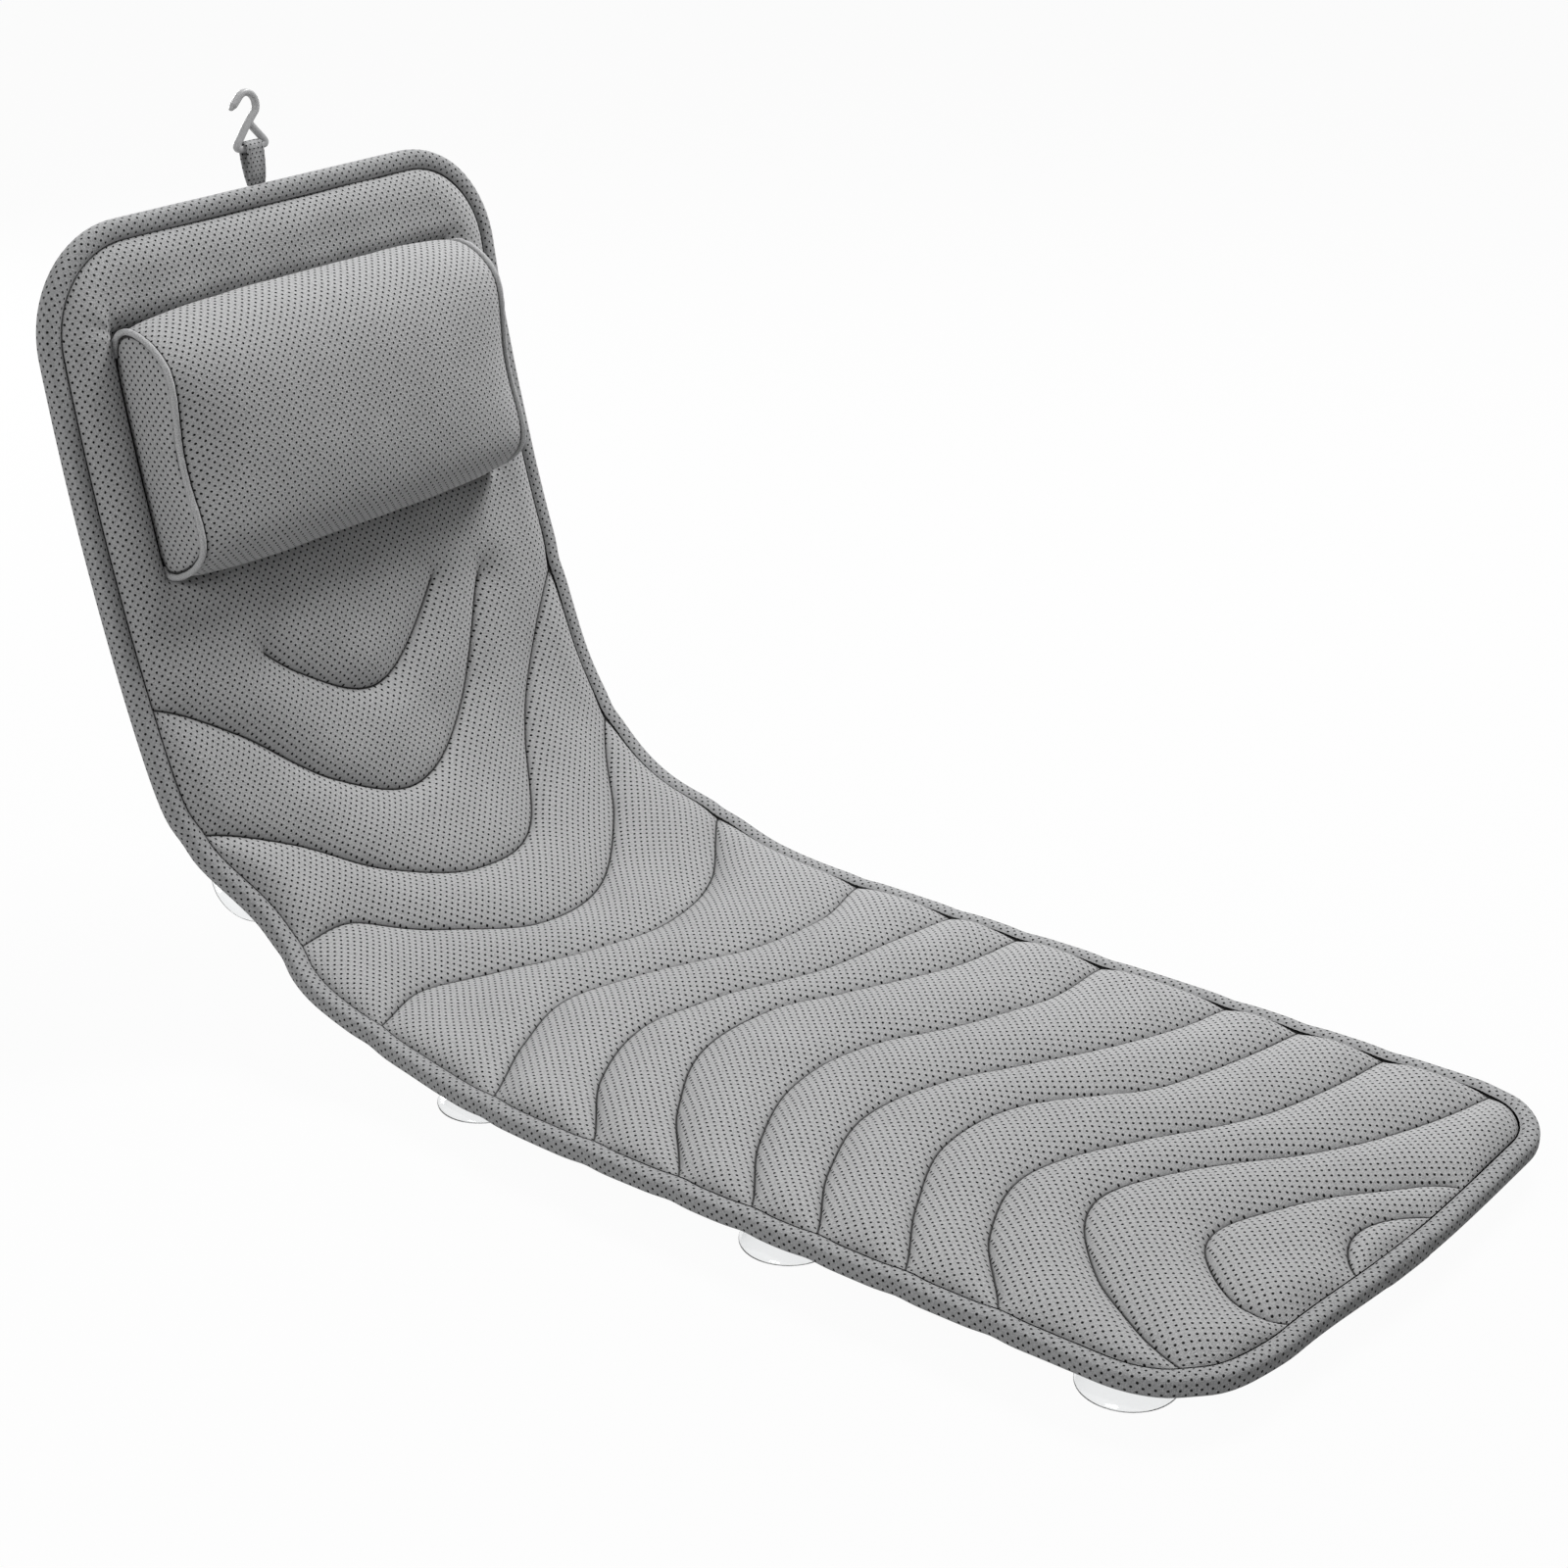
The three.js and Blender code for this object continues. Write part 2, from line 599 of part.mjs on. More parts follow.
// Hanging loop: a stitched tab behind the head binding, the loop that swings on it, and the hook
const tabN = -BIND_THICK / 2 - GAP - TAPE_THICK / 2;
const head = along(MAT_LENGTH);
const up = new THREE.Vector3(0, Math.cos(head.slope), Math.sin(head.slope));
const front = new THREE.Vector3(0, -Math.sin(head.slope), Math.cos(head.slope));
const across = new THREE.Vector3(1, 0, 0);
const loopRoot = place(0, MAT_LENGTH, tabN);
const hookBar = loopRoot.clone().addScaledVector(up, LOOP_RISE);

const tabTop = MAT_LENGTH - TAPE_THICK / 2 - GAP;
const tabRings = [tabTop - TAB_LENGTH, tabTop].map((s) => [
  place(-TAPE_WIDTH / 2, s, tabN - TAPE_THICK / 2), place(TAPE_WIDTH / 2, s, tabN - TAPE_THICK / 2),
  place(TAPE_WIDTH / 2, s, tabN + TAPE_THICK / 2), place(-TAPE_WIDTH / 2, s, tabN + TAPE_THICK / 2),
]);
add('loop_tab', sweep(tabRings, false), 'tape');

const barRadius = Math.hypot(HOOK_STRAND / 2, HOOK_DEPTH / 2 - HOOK_CHAMFER) + 2 * GAP;
const foldRadius = barRadius + TAPE_THICK / 2 + GAP;
const loopShape = new THREE.Shape();
loopShape.absarc(0, 0, TAPE_THICK / 2, Math.PI, 2 * Math.PI, false);
loopShape.absarc(0, LOOP_RISE, foldRadius, rad(-40), rad(220), false);
const barHole = new THREE.Path();
barHole.absarc(0, LOOP_RISE, barRadius, 0, 2 * Math.PI, true);
loopShape.holes.push(barHole);
const loopBody = new THREE.ExtrudeGeometry(loopShape, {
  depth: TAPE_WIDTH, bevelEnabled: false, curveSegments: 7,
});
loopBody.applyMatrix4(new THREE.Matrix4().makeBasis(front.clone().negate(), up, across))
  .translate(loopRoot.x - TAPE_WIDTH / 2, loopRoot.y, loopRoot.z);
add('hanging_loop', loopBody, 'tape');

// Strand of even width along a centre line, with a rounded tip
function strand(points, width) {
  const side = (sign) => points.map((p, i) => {
    const a = points[Math.max(i - 1, 0)];
    const b = points[Math.min(i + 1, points.length - 1)];
    const normal = new THREE.Vector2(b.y - a.y, a.x - b.x).normalize();
    return p.clone().addScaledVector(normal, (sign * width) / 2);
  });
  const [p, q] = [points.at(-2), points.at(-1)];
  const tip = q.clone().addScaledVector(q.clone().sub(p).normalize(), width / 3);
  return new THREE.Shape([...side(1), tip, ...side(-1).reverse()]);
}

function hookBody(shape) {
  const g = new THREE.ExtrudeGeometry(shape, {
    depth: HOOK_DEPTH - 2 * HOOK_CHAMFER, bevelThickness: HOOK_CHAMFER, bevelSize: HOOK_CHAMFER,
    bevelOffset: -HOOK_CHAMFER, bevelSegments: 1, curveSegments: 5,
  });
  return solid(g.translate(0, 0, HOOK_CHAMFER - HOOK_DEPTH / 2));
}

const halfStrand = HOOK_STRAND / 2;
const eyeHalf = EYE_WIDTH / 2 + 0.8 * HOOK_STRAND;
const eyeTop = halfStrand + EYE_HEIGHT + HOOK_STRAND;
const eye = new THREE.Shape();
eye.moveTo(-eyeHalf + halfStrand, -halfStrand);
eye.lineTo(eyeHalf - halfStrand, -halfStrand);
eye.quadraticCurveTo(eyeHalf + halfStrand, -halfStrand, eyeHalf - 1, halfStrand + 1);
eye.lineTo(halfStrand, eyeTop);
eye.lineTo(-halfStrand, eyeTop);
eye.lineTo(1 - eyeHalf, halfStrand + 1);
eye.quadraticCurveTo(-eyeHalf - halfStrand, -halfStrand, -eyeHalf + halfStrand, -halfStrand);
eye.holes.push(new THREE.Path([
  new THREE.Vector2(-EYE_WIDTH / 2, halfStrand), new THREE.Vector2(0, halfStrand + EYE_HEIGHT),
  new THREE.Vector2(EYE_WIDTH / 2, halfStrand),
]));
const bowRadius = THROAT_RADIUS + halfStrand;
const bow = new THREE.Vector2(0.12 * bowRadius, eyeTop + 1.08 * bowRadius);
const hookLine = [new THREE.Vector2(0, eyeTop - halfStrand)];
const bowEnd = rad(130);
for (let i = 0; i <= 10; i++) {
  const a = THREE.MathUtils.lerp(rad(-40), bowEnd, i / 10);
  hookLine.push(new THREE.Vector2(bow.x + bowRadius * Math.cos(a), bow.y + bowRadius * Math.sin(a)));
}
const tipWay = new THREE.Vector2(-Math.sin(bowEnd), Math.cos(bowEnd));
hookLine.push(hookLine.at(-1).clone().addScaledVector(tipWay, TIP_LENGTH));
const hook = geometryFrom(hookBody(eye).add(hookBody(strand(hookLine, HOOK_STRAND))));
hook.applyMatrix4(new THREE.Matrix4().makeBasis(across, up, front))
  .translate(hookBar.x, hookBar.y, hookBar.z);
add('hook', hook, 'hook');

// Origin: middle of the footprint, on the tub floor
const box = new THREE.Box3().setFromObject(group);
const middle = box.getCenter(new THREE.Vector3());
for (const mesh of group.children) mesh.geometry.translate(-middle.x, -middle.y, -box.min.z);

export default group;
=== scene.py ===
import math

import bmesh
import bpy
import numpy as np
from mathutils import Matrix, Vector


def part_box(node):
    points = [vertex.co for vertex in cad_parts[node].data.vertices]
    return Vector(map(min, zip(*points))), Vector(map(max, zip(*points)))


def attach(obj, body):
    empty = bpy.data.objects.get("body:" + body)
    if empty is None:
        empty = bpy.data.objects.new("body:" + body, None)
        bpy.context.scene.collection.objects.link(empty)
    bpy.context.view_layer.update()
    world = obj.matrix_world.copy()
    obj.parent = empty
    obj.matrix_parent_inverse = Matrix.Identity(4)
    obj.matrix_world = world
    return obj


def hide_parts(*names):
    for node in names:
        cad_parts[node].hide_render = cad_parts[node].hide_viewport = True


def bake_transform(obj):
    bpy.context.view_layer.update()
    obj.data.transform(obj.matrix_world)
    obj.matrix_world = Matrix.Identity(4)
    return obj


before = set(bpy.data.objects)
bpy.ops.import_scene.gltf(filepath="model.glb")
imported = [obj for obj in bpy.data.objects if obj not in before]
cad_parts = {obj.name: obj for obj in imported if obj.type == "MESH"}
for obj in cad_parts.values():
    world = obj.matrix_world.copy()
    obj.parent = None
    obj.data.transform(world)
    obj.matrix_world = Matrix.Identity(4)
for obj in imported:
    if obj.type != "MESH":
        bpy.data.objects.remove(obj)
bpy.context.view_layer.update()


# Quilted face
# One cloth of grey pierced mesh over soft padding, stitched through to the layers below in wavy channels.
# It lies flat under the legs and bends up behind the back. Its raw edges are held in the binding.
MAT_WIDTH, MAT_LENGTH = 0.400, 1.205
SEAT_FLAT, BEND_LENGTH = 0.600, 0.245
BEND_TURN, BACK_TURN = math.radians(70), math.radians(14)
FOOT_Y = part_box("seat_binding")[0][1]
MIDDLE_Z = 0.0246
FOOT_CORNERS, HEAD_CORNER = (0.090, 0.058), 0.074
BIND_WIDTH, BIND_REACH = 0.013, 0.0065
N_REAR, N_CORE, N_SEAM, N_CROWN = -0.0046, -0.0027, 0.0030, 0.0134
PUFF_REACH, HEM_REACH, PILLOW_REACH, PUFF_POWER = 0.032, 0.022, 0.017, 0.6
# A bell is its middle and its widths before and after that, a wave its depth, its middle and its width
EDGE_RISE, RISE_FROM, RISE_BELL = 0.010, 0.09, (0.66, 0.06, 0.05)
FOOT_PULL, FOOT_PULL_BELL, FOOT_PULL_END = 0.0155, (-0.125, 0.06, 0.10), 0.11
TUCK_DEPTH, TUCK_REACH = 0.0016, 0.010
LEFT_WAVES = ((0.0275, 0.747, 0.056), (0.0135, 0.62, 0.078))
RIGHT_EASE, RIGHT_BELL = 0.004, (0.65, 0.07, 0.05)
CLIMB, CLIMB_REACH = 0.004, 0.010
# The folds share the bend evenly, and the mat's pieces are cut half way between them
FOLDS = tuple(round(SEAT_FLAT + BEND_LENGTH * sixths / 6, 5) for sixths in (1, 3, 5))
CUTS = tuple(round(SEAT_FLAT + BEND_LENGTH * sixths / 6, 5) for sixths in (2, 4))
FOLD_REACH = 0.031
# Each seam's distance from the foot edge at seven even places from left to right, in millimetres
SEAMS = np.array([
    [-80, -40, 6, 37, 1, -38, -70],
    [-64, 24, 100, 82, 34, -15, -50],
    [38, 130, 173, 147, 96, 63, 46],
    [155, 201, 220, 194, 152, 129, 118],
    [217, 251, 276, 266, 215, 190, 177],
    [277, 313, 333, 317, 279, 245, 229],
    [323, 364, 389, 384, 350, 326, 323],
    [376, 426, 460, 460, 429, 399, 389],
    [441, 487, 509, 496, 468, 454, 443],
    [525, 554, 572, 552, 522, 511, 523],
    [632, 647, 631, 604, 591, 608, 656],
    [721, 720, 686, 652, 656, 703, 779],
    [818, 787, 744, 715, 727, 820, 897],
    [906, 869, 815, 789, 828, 930, 1000],
    [985, 950, 891, 864, 911, 995, 1055],
]) / 1000
FULL_SEAMS = 13
SEAM_ENDS = {13: (-1, 0.60), 14: (-0.46, 0.38)}
SEAM_STEP, SEAM_START, SEAM_FAR = 0.004, 0.006, 0.05
PILLOW_SEAT = (0.1485, 1.0600, 0.0785)


def middle_line(s):
    """Side view of the mat at the distance s from the foot edge, as y, z and slope.
    Straight along the seat, then two arcs that each turn evenly over their own length."""
    bend = np.clip(s - SEAT_FLAT, 0, BEND_LENGTH)
    back = np.maximum(s - SEAT_FLAT - BEND_LENGTH, 0)
    bend_radius = BEND_LENGTH / BEND_TURN
    back_radius = (MAT_LENGTH - SEAT_FLAT - BEND_LENGTH) / BACK_TURN
    a, b = bend / bend_radius, back / back_radius
    y = np.minimum(s, SEAT_FLAT) + bend_radius * np.sin(a)
    y = y + back_radius * (np.sin(BEND_TURN + b) - np.sin(BEND_TURN))
    z = bend_radius * (1 - np.cos(a)) + back_radius * (np.cos(BEND_TURN) - np.cos(BEND_TURN + b))
    return FOOT_Y + y, MIDDLE_Z + z, a + b


def ramp(t, low, high):
    """0 below low, 1 above high, smooth between."""
    t = np.clip((t - low) / (high - low), 0, 1)
    return t * t * (3 - 2 * t)


def bell(t, middle, before, after):
    """1 at the middle, falling off as a bell with its own width on each side."""
    return np.exp(-(((t - middle) / np.where(t < middle, before, after)) ** 2))


def edge_lift(x, s):
    """Rise of the two edges at the bend, where the binding takes the shorter way."""
    return EDGE_RISE * ramp(np.abs(x), RISE_FROM, MAT_WIDTH / 2) * bell(s, *RISE_BELL)


def foot_draw(x, s):
    """How far the foot edge is drawn in near its left corner, less and less further in."""
    return FOOT_PULL * bell(x, *FOOT_PULL_BELL) * (1 - ramp(s, 0, FOOT_PULL_END))


def bent(x, s, n):
    """Mat coordinates to space: x across, s along the middle line, n square to it."""
    x, s, n = np.broadcast_arrays(x, s, n)
    n = n + edge_lift(x, s)
    s = s + foot_draw(x, s)
    y, z, slope = middle_line(s)
    return np.stack([x, y - n * np.sin(slope), z + n * np.cos(slope)], -1)


def through(values, u):
    """Smooth curves through evenly spaced values, u from -1 to 1: a cubic between each two of them,
    whose slope at a value is the mean slope of its neighbours."""
    ends = np.pad(values, ((0, 0), (1, 1)), mode="edge")
    t = (u + 1) / 2 * (values.shape[1] - 1)
    i = np.minimum(t.astype(int), values.shape[1] - 2)
    f = t - i
    a, b, c, d = (ends[:, i + j] for j in range(4))
    return b + 0.5 * f * (c - a + f * (2 * a - 5 * b + 4 * c - d + f * (3 * (b - c) + d - a)))


def ripple(x, s, length, seed):
    """Gentle unevenness between about -1 and 1: a sum of nine waves of about this length,
    with seeded directions and phases."""
    rng = np.random.default_rng(seed)
    turn = rng.uniform(0, 2 * np.pi, 9)
    phase = rng.uniform(0, 2 * np.pi, 9)
    k = 2 * np.pi / (length * rng.uniform(0.7, 1.5, 9))
    waves = np.sin(k * (np.cos(turn) * x[..., None] + np.sin(turn) * s[..., None]) + phase)
    return waves.sum(-1) / 3.5


def drawn_edge(s, side):
    """How far an edge is drawn in at s: a little where each seam meets the binding, and at the bend on the
    left edge in two waves, while the right edge is let out there."""
    ends = SEAMS[:FULL_SEAMS, 0 if side < 0 else -1]
    tuck = TUCK_DEPTH * np.exp(-(((s[..., None] - ends) / TUCK_REACH) ** 2)).sum(-1)
    if side > 0:
        return tuck - RIGHT_EASE * bell(s, *RIGHT_BELL)
    for depth, middle, reach in LEFT_WAVES:
        tuck = tuck + depth * bell(s, middle, reach, reach)
    return tuck


def half_width(s, inset, side):
    """Half width at s of the mat's outline drawn in by inset: straight sides and quarter-circle corners."""
    foot, head = FOOT_CORNERS[0 if side < 0 else 1] - inset, HEAD_CORNER - inset
    a = np.clip(foot - (s - inset), 0, foot)
    b = np.clip(head - (MAT_LENGTH - inset - s), 0, head)
    cut = foot - np.sqrt(foot ** 2 - a ** 2) + head - np.sqrt(head ** 2 - b ** 2)
    return MAT_WIDTH / 2 - inset - cut - drawn_edge(s, side)


def across(u, s):
    """Place across the mat at the share u of its half width. An edge that is drawn in moves the outer part:
    its pull fades in from 0.3 of the half width to the edge."""
    left = u < 0
    pull = np.where(left, drawn_edge(s, -1), drawn_edge(s, 1))
    half = np.where(left, half_width(s, BIND_REACH, -1), half_width(s, BIND_REACH, 1))
    return u * (half + pull) - np.sign(u) * pull * ramp(np.abs(u), 0.3, 1)


def depth_inside(x, s, inset):
    """Distance inside the outline of half_width, negative outside it: to the nearer side or end, or to the
    arc in a corner's own square."""
    left = x < 0
    pull = np.where(left, drawn_edge(s, -1), drawn_edge(s, 1))
    foot = np.where(left, FOOT_CORNERS[0], FOOT_CORNERS[1])
    near_foot = s < MAT_LENGTH / 2
    radius = np.where(near_foot, foot, HEAD_CORNER) - inset
    side = MAT_WIDTH / 2 - inset - pull - np.abs(x)
    end = np.where(near_foot, s, MAT_LENGTH - s) - inset
    rounded = radius - np.hypot(radius - side, radius - end)
    return np.where((side >= radius) | (end >= radius), np.minimum(side, end), rounded)


def puff(distance, reach):
    """Rounded rise of padding away from a stitched line: a softened quarter circle over this reach."""
    q = np.clip(distance / reach, 0, 1)
    return (q * (2 - q)) ** PUFF_POWER


def distance_to(x, s, line_x, line_s):
    """Distance to a drawn line: the least of the distances to its straight steps."""
    dx, ds = np.diff(line_x), np.diff(line_s)
    ex, es = x[..., None] - line_x[:-1], s[..., None] - line_s[:-1]
    t = np.clip((ex * dx + es * ds) / (dx * dx + ds * ds), 0, 1)
    return np.sqrt(((ex - t * dx) ** 2 + (es - t * ds) ** 2).min(-1))


def pillow_rise(x, s):
    """Rise of the padding away from the place that the pillow is sewn down on."""
    beside = np.maximum(np.abs(x) - PILLOW_SEAT[0], 0)
    past = np.maximum(np.abs(s - PILLOW_SEAT[1]) - PILLOW_SEAT[2], 0)
    return puff(np.hypot(beside, past), PILLOW_REACH)


def quilt_grid(columns, rows):
    """Grid over the mat whose rows follow the seams: x, s, the share of the full crown, and the distance
    to the nearest seam. Padding rises from every seam, from the binding and from the stitching around the
    pillow, and the rises multiply."""
    v = np.linspace(-1, 1, columns)
    u = v * (1.25 - 0.25 * v * v)
    ends = np.full((1, columns), 1.0)
    drawn = through(SEAMS, u)
    lines = np.vstack([BIND_REACH * ends, drawn, (MAT_LENGTH - BIND_REACH) * ends])
    steps = SEAM_STEP * np.arange(len(lines))[:, None]
    lines = np.maximum.accumulate(lines - steps, 0) + steps
    share = (1 - np.cos(np.linspace(0, np.pi, rows + 1)[:-1])) / 2
    last = np.linspace(0, 1, 8 * rows + 1) ** 1.15
    s = (lines[:-2, None] + (lines[1:-1] - lines[:-2])[:, None] * share[None, :, None]).reshape(-1, columns)
    s = np.vstack([s, lines[-2] + (lines[-1] - lines[-2]) * last[:, None]])
    x = across(np.broadcast_to(u, s.shape), s)
    lift = puff(depth_inside(x, s, BIND_WIDTH), HEM_REACH)
    seam = np.full(s.shape, SEAM_FAR)
    for i, line in enumerate(drawn):
        low, high = SEAM_ENDS.get(i, (-1, 1))
        on = (u >= low) & (u <= high) & (line > SEAM_START)
        away = distance_to(x, s, across(u, line)[on], line[on])
        lift = lift * puff(away, PUFF_REACH)
        seam = np.minimum(seam, away)
    return x, s, lift * pillow_rise(x, s), seam


def facing_of(points):
    """Unit normals of a grid of points, along the cross product of its two directions."""
    normal = np.cross(np.gradient(points, axis=1), np.gradient(points, axis=0))
    return normal / np.maximum(np.linalg.norm(normal, axis=-1, keepdims=True), 1e-12)


def grid_faces(rows, columns, close_rows=False, close_columns=False):
    """Quads between neighbours of a grid, as corner numbers and as (row, column) places that run on past
    a closed seam, so that a cloth's own coordinates don't jump there."""
    last_row, last_column = rows - (not close_rows), columns - (not close_columns)
    r, c = np.meshgrid(np.arange(last_row), np.arange(last_column), indexing="ij")
    around = ((0, 0), (0, 1), (1, 1), (1, 0))
    places = np.stack([np.stack([r + i, c + j], -1) for i, j in around], -2).reshape(-1, 4, 2)
    corners = (places[..., 0] % rows) * columns + places[..., 1] % columns
    return corners, places


def cloth_mesh(name, points, faces, cloth, **values):
    """Mesh with a UV map in metres of cloth, cloth being one pair for each corner of each face, and with
    float or vector values on its points."""
    mesh = bpy.data.meshes.new(name)
    mesh.from_pydata(points.reshape(-1, 3), [], faces.tolist())
    mesh.uv_layers.new(name="cloth").data.foreach_set("uv", cloth.astype(np.float32).ravel())
    for key, value in values.items():
        vector = value.reshape(len(mesh.vertices), -1).shape[1] == 3
        layer = mesh.attributes.new(key, "FLOAT_VECTOR" if vector else "FLOAT", "POINT")
        layer.data.foreach_set("vector" if vector else "value", value.astype(np.float32).ravel())
    mesh.shade_smooth()
    return mesh


def climb(room):
    """Extra cloth where the padding climbs: the square of how near the binding is."""
    return CLIMB * np.clip(1 - room / CLIMB_REACH, 0, 1) ** 2


def laid_cloth(x, s):
    """Cloth coordinates over the mat: x and s, each carried on a little beside the binding, where the
    padding climbs, so that the weave isn't stretched there."""
    half = np.where(x < 0, half_width(s, BIND_WIDTH, -1), half_width(s, BIND_WIDTH, 1))
    beside = climb(half - np.abs(x))
    along = climb(MAT_LENGTH - BIND_WIDTH - s) - climb(s - BIND_WIDTH) + foot_draw(x, s)
    return np.stack([x + np.sign(x) * beside, s + along], -1)


def slab(name, x, s, top, bottom, seam):
    """Closed pad between two heights over one grid, still flat, with its bent normals on its points."""
    rows, columns = x.shape
    upper = np.stack(np.broadcast_arrays(x, s, top), -1)
    lower = np.stack(np.broadcast_arrays(x, s, bottom), -1)
    number = np.arange(x.size).reshape(x.shape)
    rim = np.concatenate([number[0, :-1], number[:-1, -1], number[-1, :0:-1], number[:0:-1, 0]])
    after = np.roll(rim, -1)
    face = grid_faces(rows, columns)[0]
    side = np.stack([rim, rim + x.size, after + x.size, after], -1)
    faces = np.vstack([face, face[:, ::-1] + x.size, side])
    points = np.concatenate([upper.reshape(-1, 3), lower.reshape(-1, 3)])
    facing = np.concatenate([
        facing_of(bent(x, s, top)).reshape(-1, 3), -facing_of(bent(x, s, bottom)).reshape(-1, 3)])
    cloth = np.tile(laid_cloth(x, s).reshape(-1, 2), (2, 1))
    return cloth_mesh(name, points, faces, cloth[faces], facing=facing, seam=np.tile(seam.ravel(), 2))


def add_piece(name, data):
    """New object with this mesh, camera or lamp, put into the scene."""
    piece = bpy.data.objects.new(name, data)
    bpy.context.scene.collection.objects.link(piece)
    return piece


def cut_and_bend(flat, name, low, high, material):
    """Piece of a flat mesh between two distances along the mat, closed at its cuts, bent into place."""
    bm = bmesh.new()
    bm.from_mesh(flat)
    for s, side in ((low, -1), (high, 1)):
        if s is None:
            continue
        everything = bm.verts[:] + bm.edges[:] + bm.faces[:]
        cut = bmesh.ops.bisect_plane(
            bm, geom=everything, dist=1e-7, plane_co=(0, s, 0), plane_no=(0, side, 0), clear_outer=True)
        edges = [e for e in cut["geom_cut"] if isinstance(e, bmesh.types.BMEdge)]
        bmesh.ops.holes_fill(bm, edges=edges, sides=0)
    mesh = bpy.data.meshes.new(name)
    bm.to_mesh(mesh)
    bm.free()
    co = np.empty(3 * len(mesh.vertices))
    mesh.vertices.foreach_get("co", co)
    mesh.vertices.foreach_set("co", bent(*co.reshape(-1, 3).T).ravel())
    facing = np.empty(3 * len(mesh.vertices), np.float32)
    mesh.attributes["facing"].data.foreach_get("vector", facing)
    mesh.shade_smooth()
    mesh.normals_split_custom_set_from_vertices(facing.reshape(-1, 3))
    mesh.attributes.remove(mesh.attributes["facing"])
    mesh.materials.append(material)
    return add_piece(name, mesh)


def follow_fold(piece, i):
    """Bakes the piece's transform into its mesh; the two ends of fold i are worked out but not used."""
    ends = [tuple(bent(0, FOLDS[i] + d, 0)) for d in (-FOLD_REACH, FOLD_REACH)]
    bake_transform(piece)


SPANS = ((None, CUTS[0]), (CUTS[0], CUTS[1]), (CUTS[1], None))
SPAN_NAMES = ("seat", "lumbar", "backrest")
SPAN_SECTIONS = (("seat",), ("lumbar_lower", "lumbar_upper"), ("backrest",))


# The lattice of the holes in metres, their rim and lip in radii of a hole, the amounts of height, the noise
# in the tone as pairs of scale and amount, and the least tone of the painted shade beside a seam and on the
# seam's line, which is its thread darkened by painted shade deep in the crease
HOLE_PITCH, HOLE_ROW, HOLE_RADIUS = 0.0058, 0.0032, 0.00084
HOLE_RIM, LIP_AT, LIP_WIDTH = (0.80, 1.14), 1.5, 0.7
YARN_SCALE, YARN_RUNS = 1500.0, ((1.0, 0.38, 1.0), (0.30, 1.0, 1.0))
YARN_HEIGHT, LIP_HEIGHT, HOLE_HEIGHT = 0.9, 0.35, -1.6
YARN_TONE, TONE_NOISE = 0.55, ((820.0, 0.55), (22.0, 0.10))
SEAM_SHADE, SHADE_REACH, SEAM_LINE_SHADE = 0.80, (-0.001, 0.005), 0.14
# Near black painted into the holes, for the shade inside them
HOLE_SHADE_GREY = (0.004, 0.004, 0.004, 1)


def node(tree, kind, **values):
    """New shader node with its settings and its inputs; an input given a socket is linked to it."""
    made = tree.nodes.new("ShaderNode" + kind)
    inputs = values.pop("inputs", {})
    for key, value in values.items():
        setattr(made, key, value)
    for key, value in inputs.items():
        if isinstance(value, bpy.types.NodeSocket):
            tree.links.new(value, made.inputs[key])
        else:
            made.inputs[key].default_value = value
    return made


def maths(tree, operation, a, b=0.0, c=0.0):
    """Output of a new maths node."""
    return node(tree, "Math", operation=operation, inputs={0: a, 1: b, 2: c}).outputs[0]


def between(tree, value, low, high):
    """0 where value is under low, 1 where it is over high, smooth between."""
    return node(tree, "MapRange", interpolation_type="SMOOTHSTEP", inputs={
        "Value": value, "From Min": low, "From Max": high}).outputs["Result"]


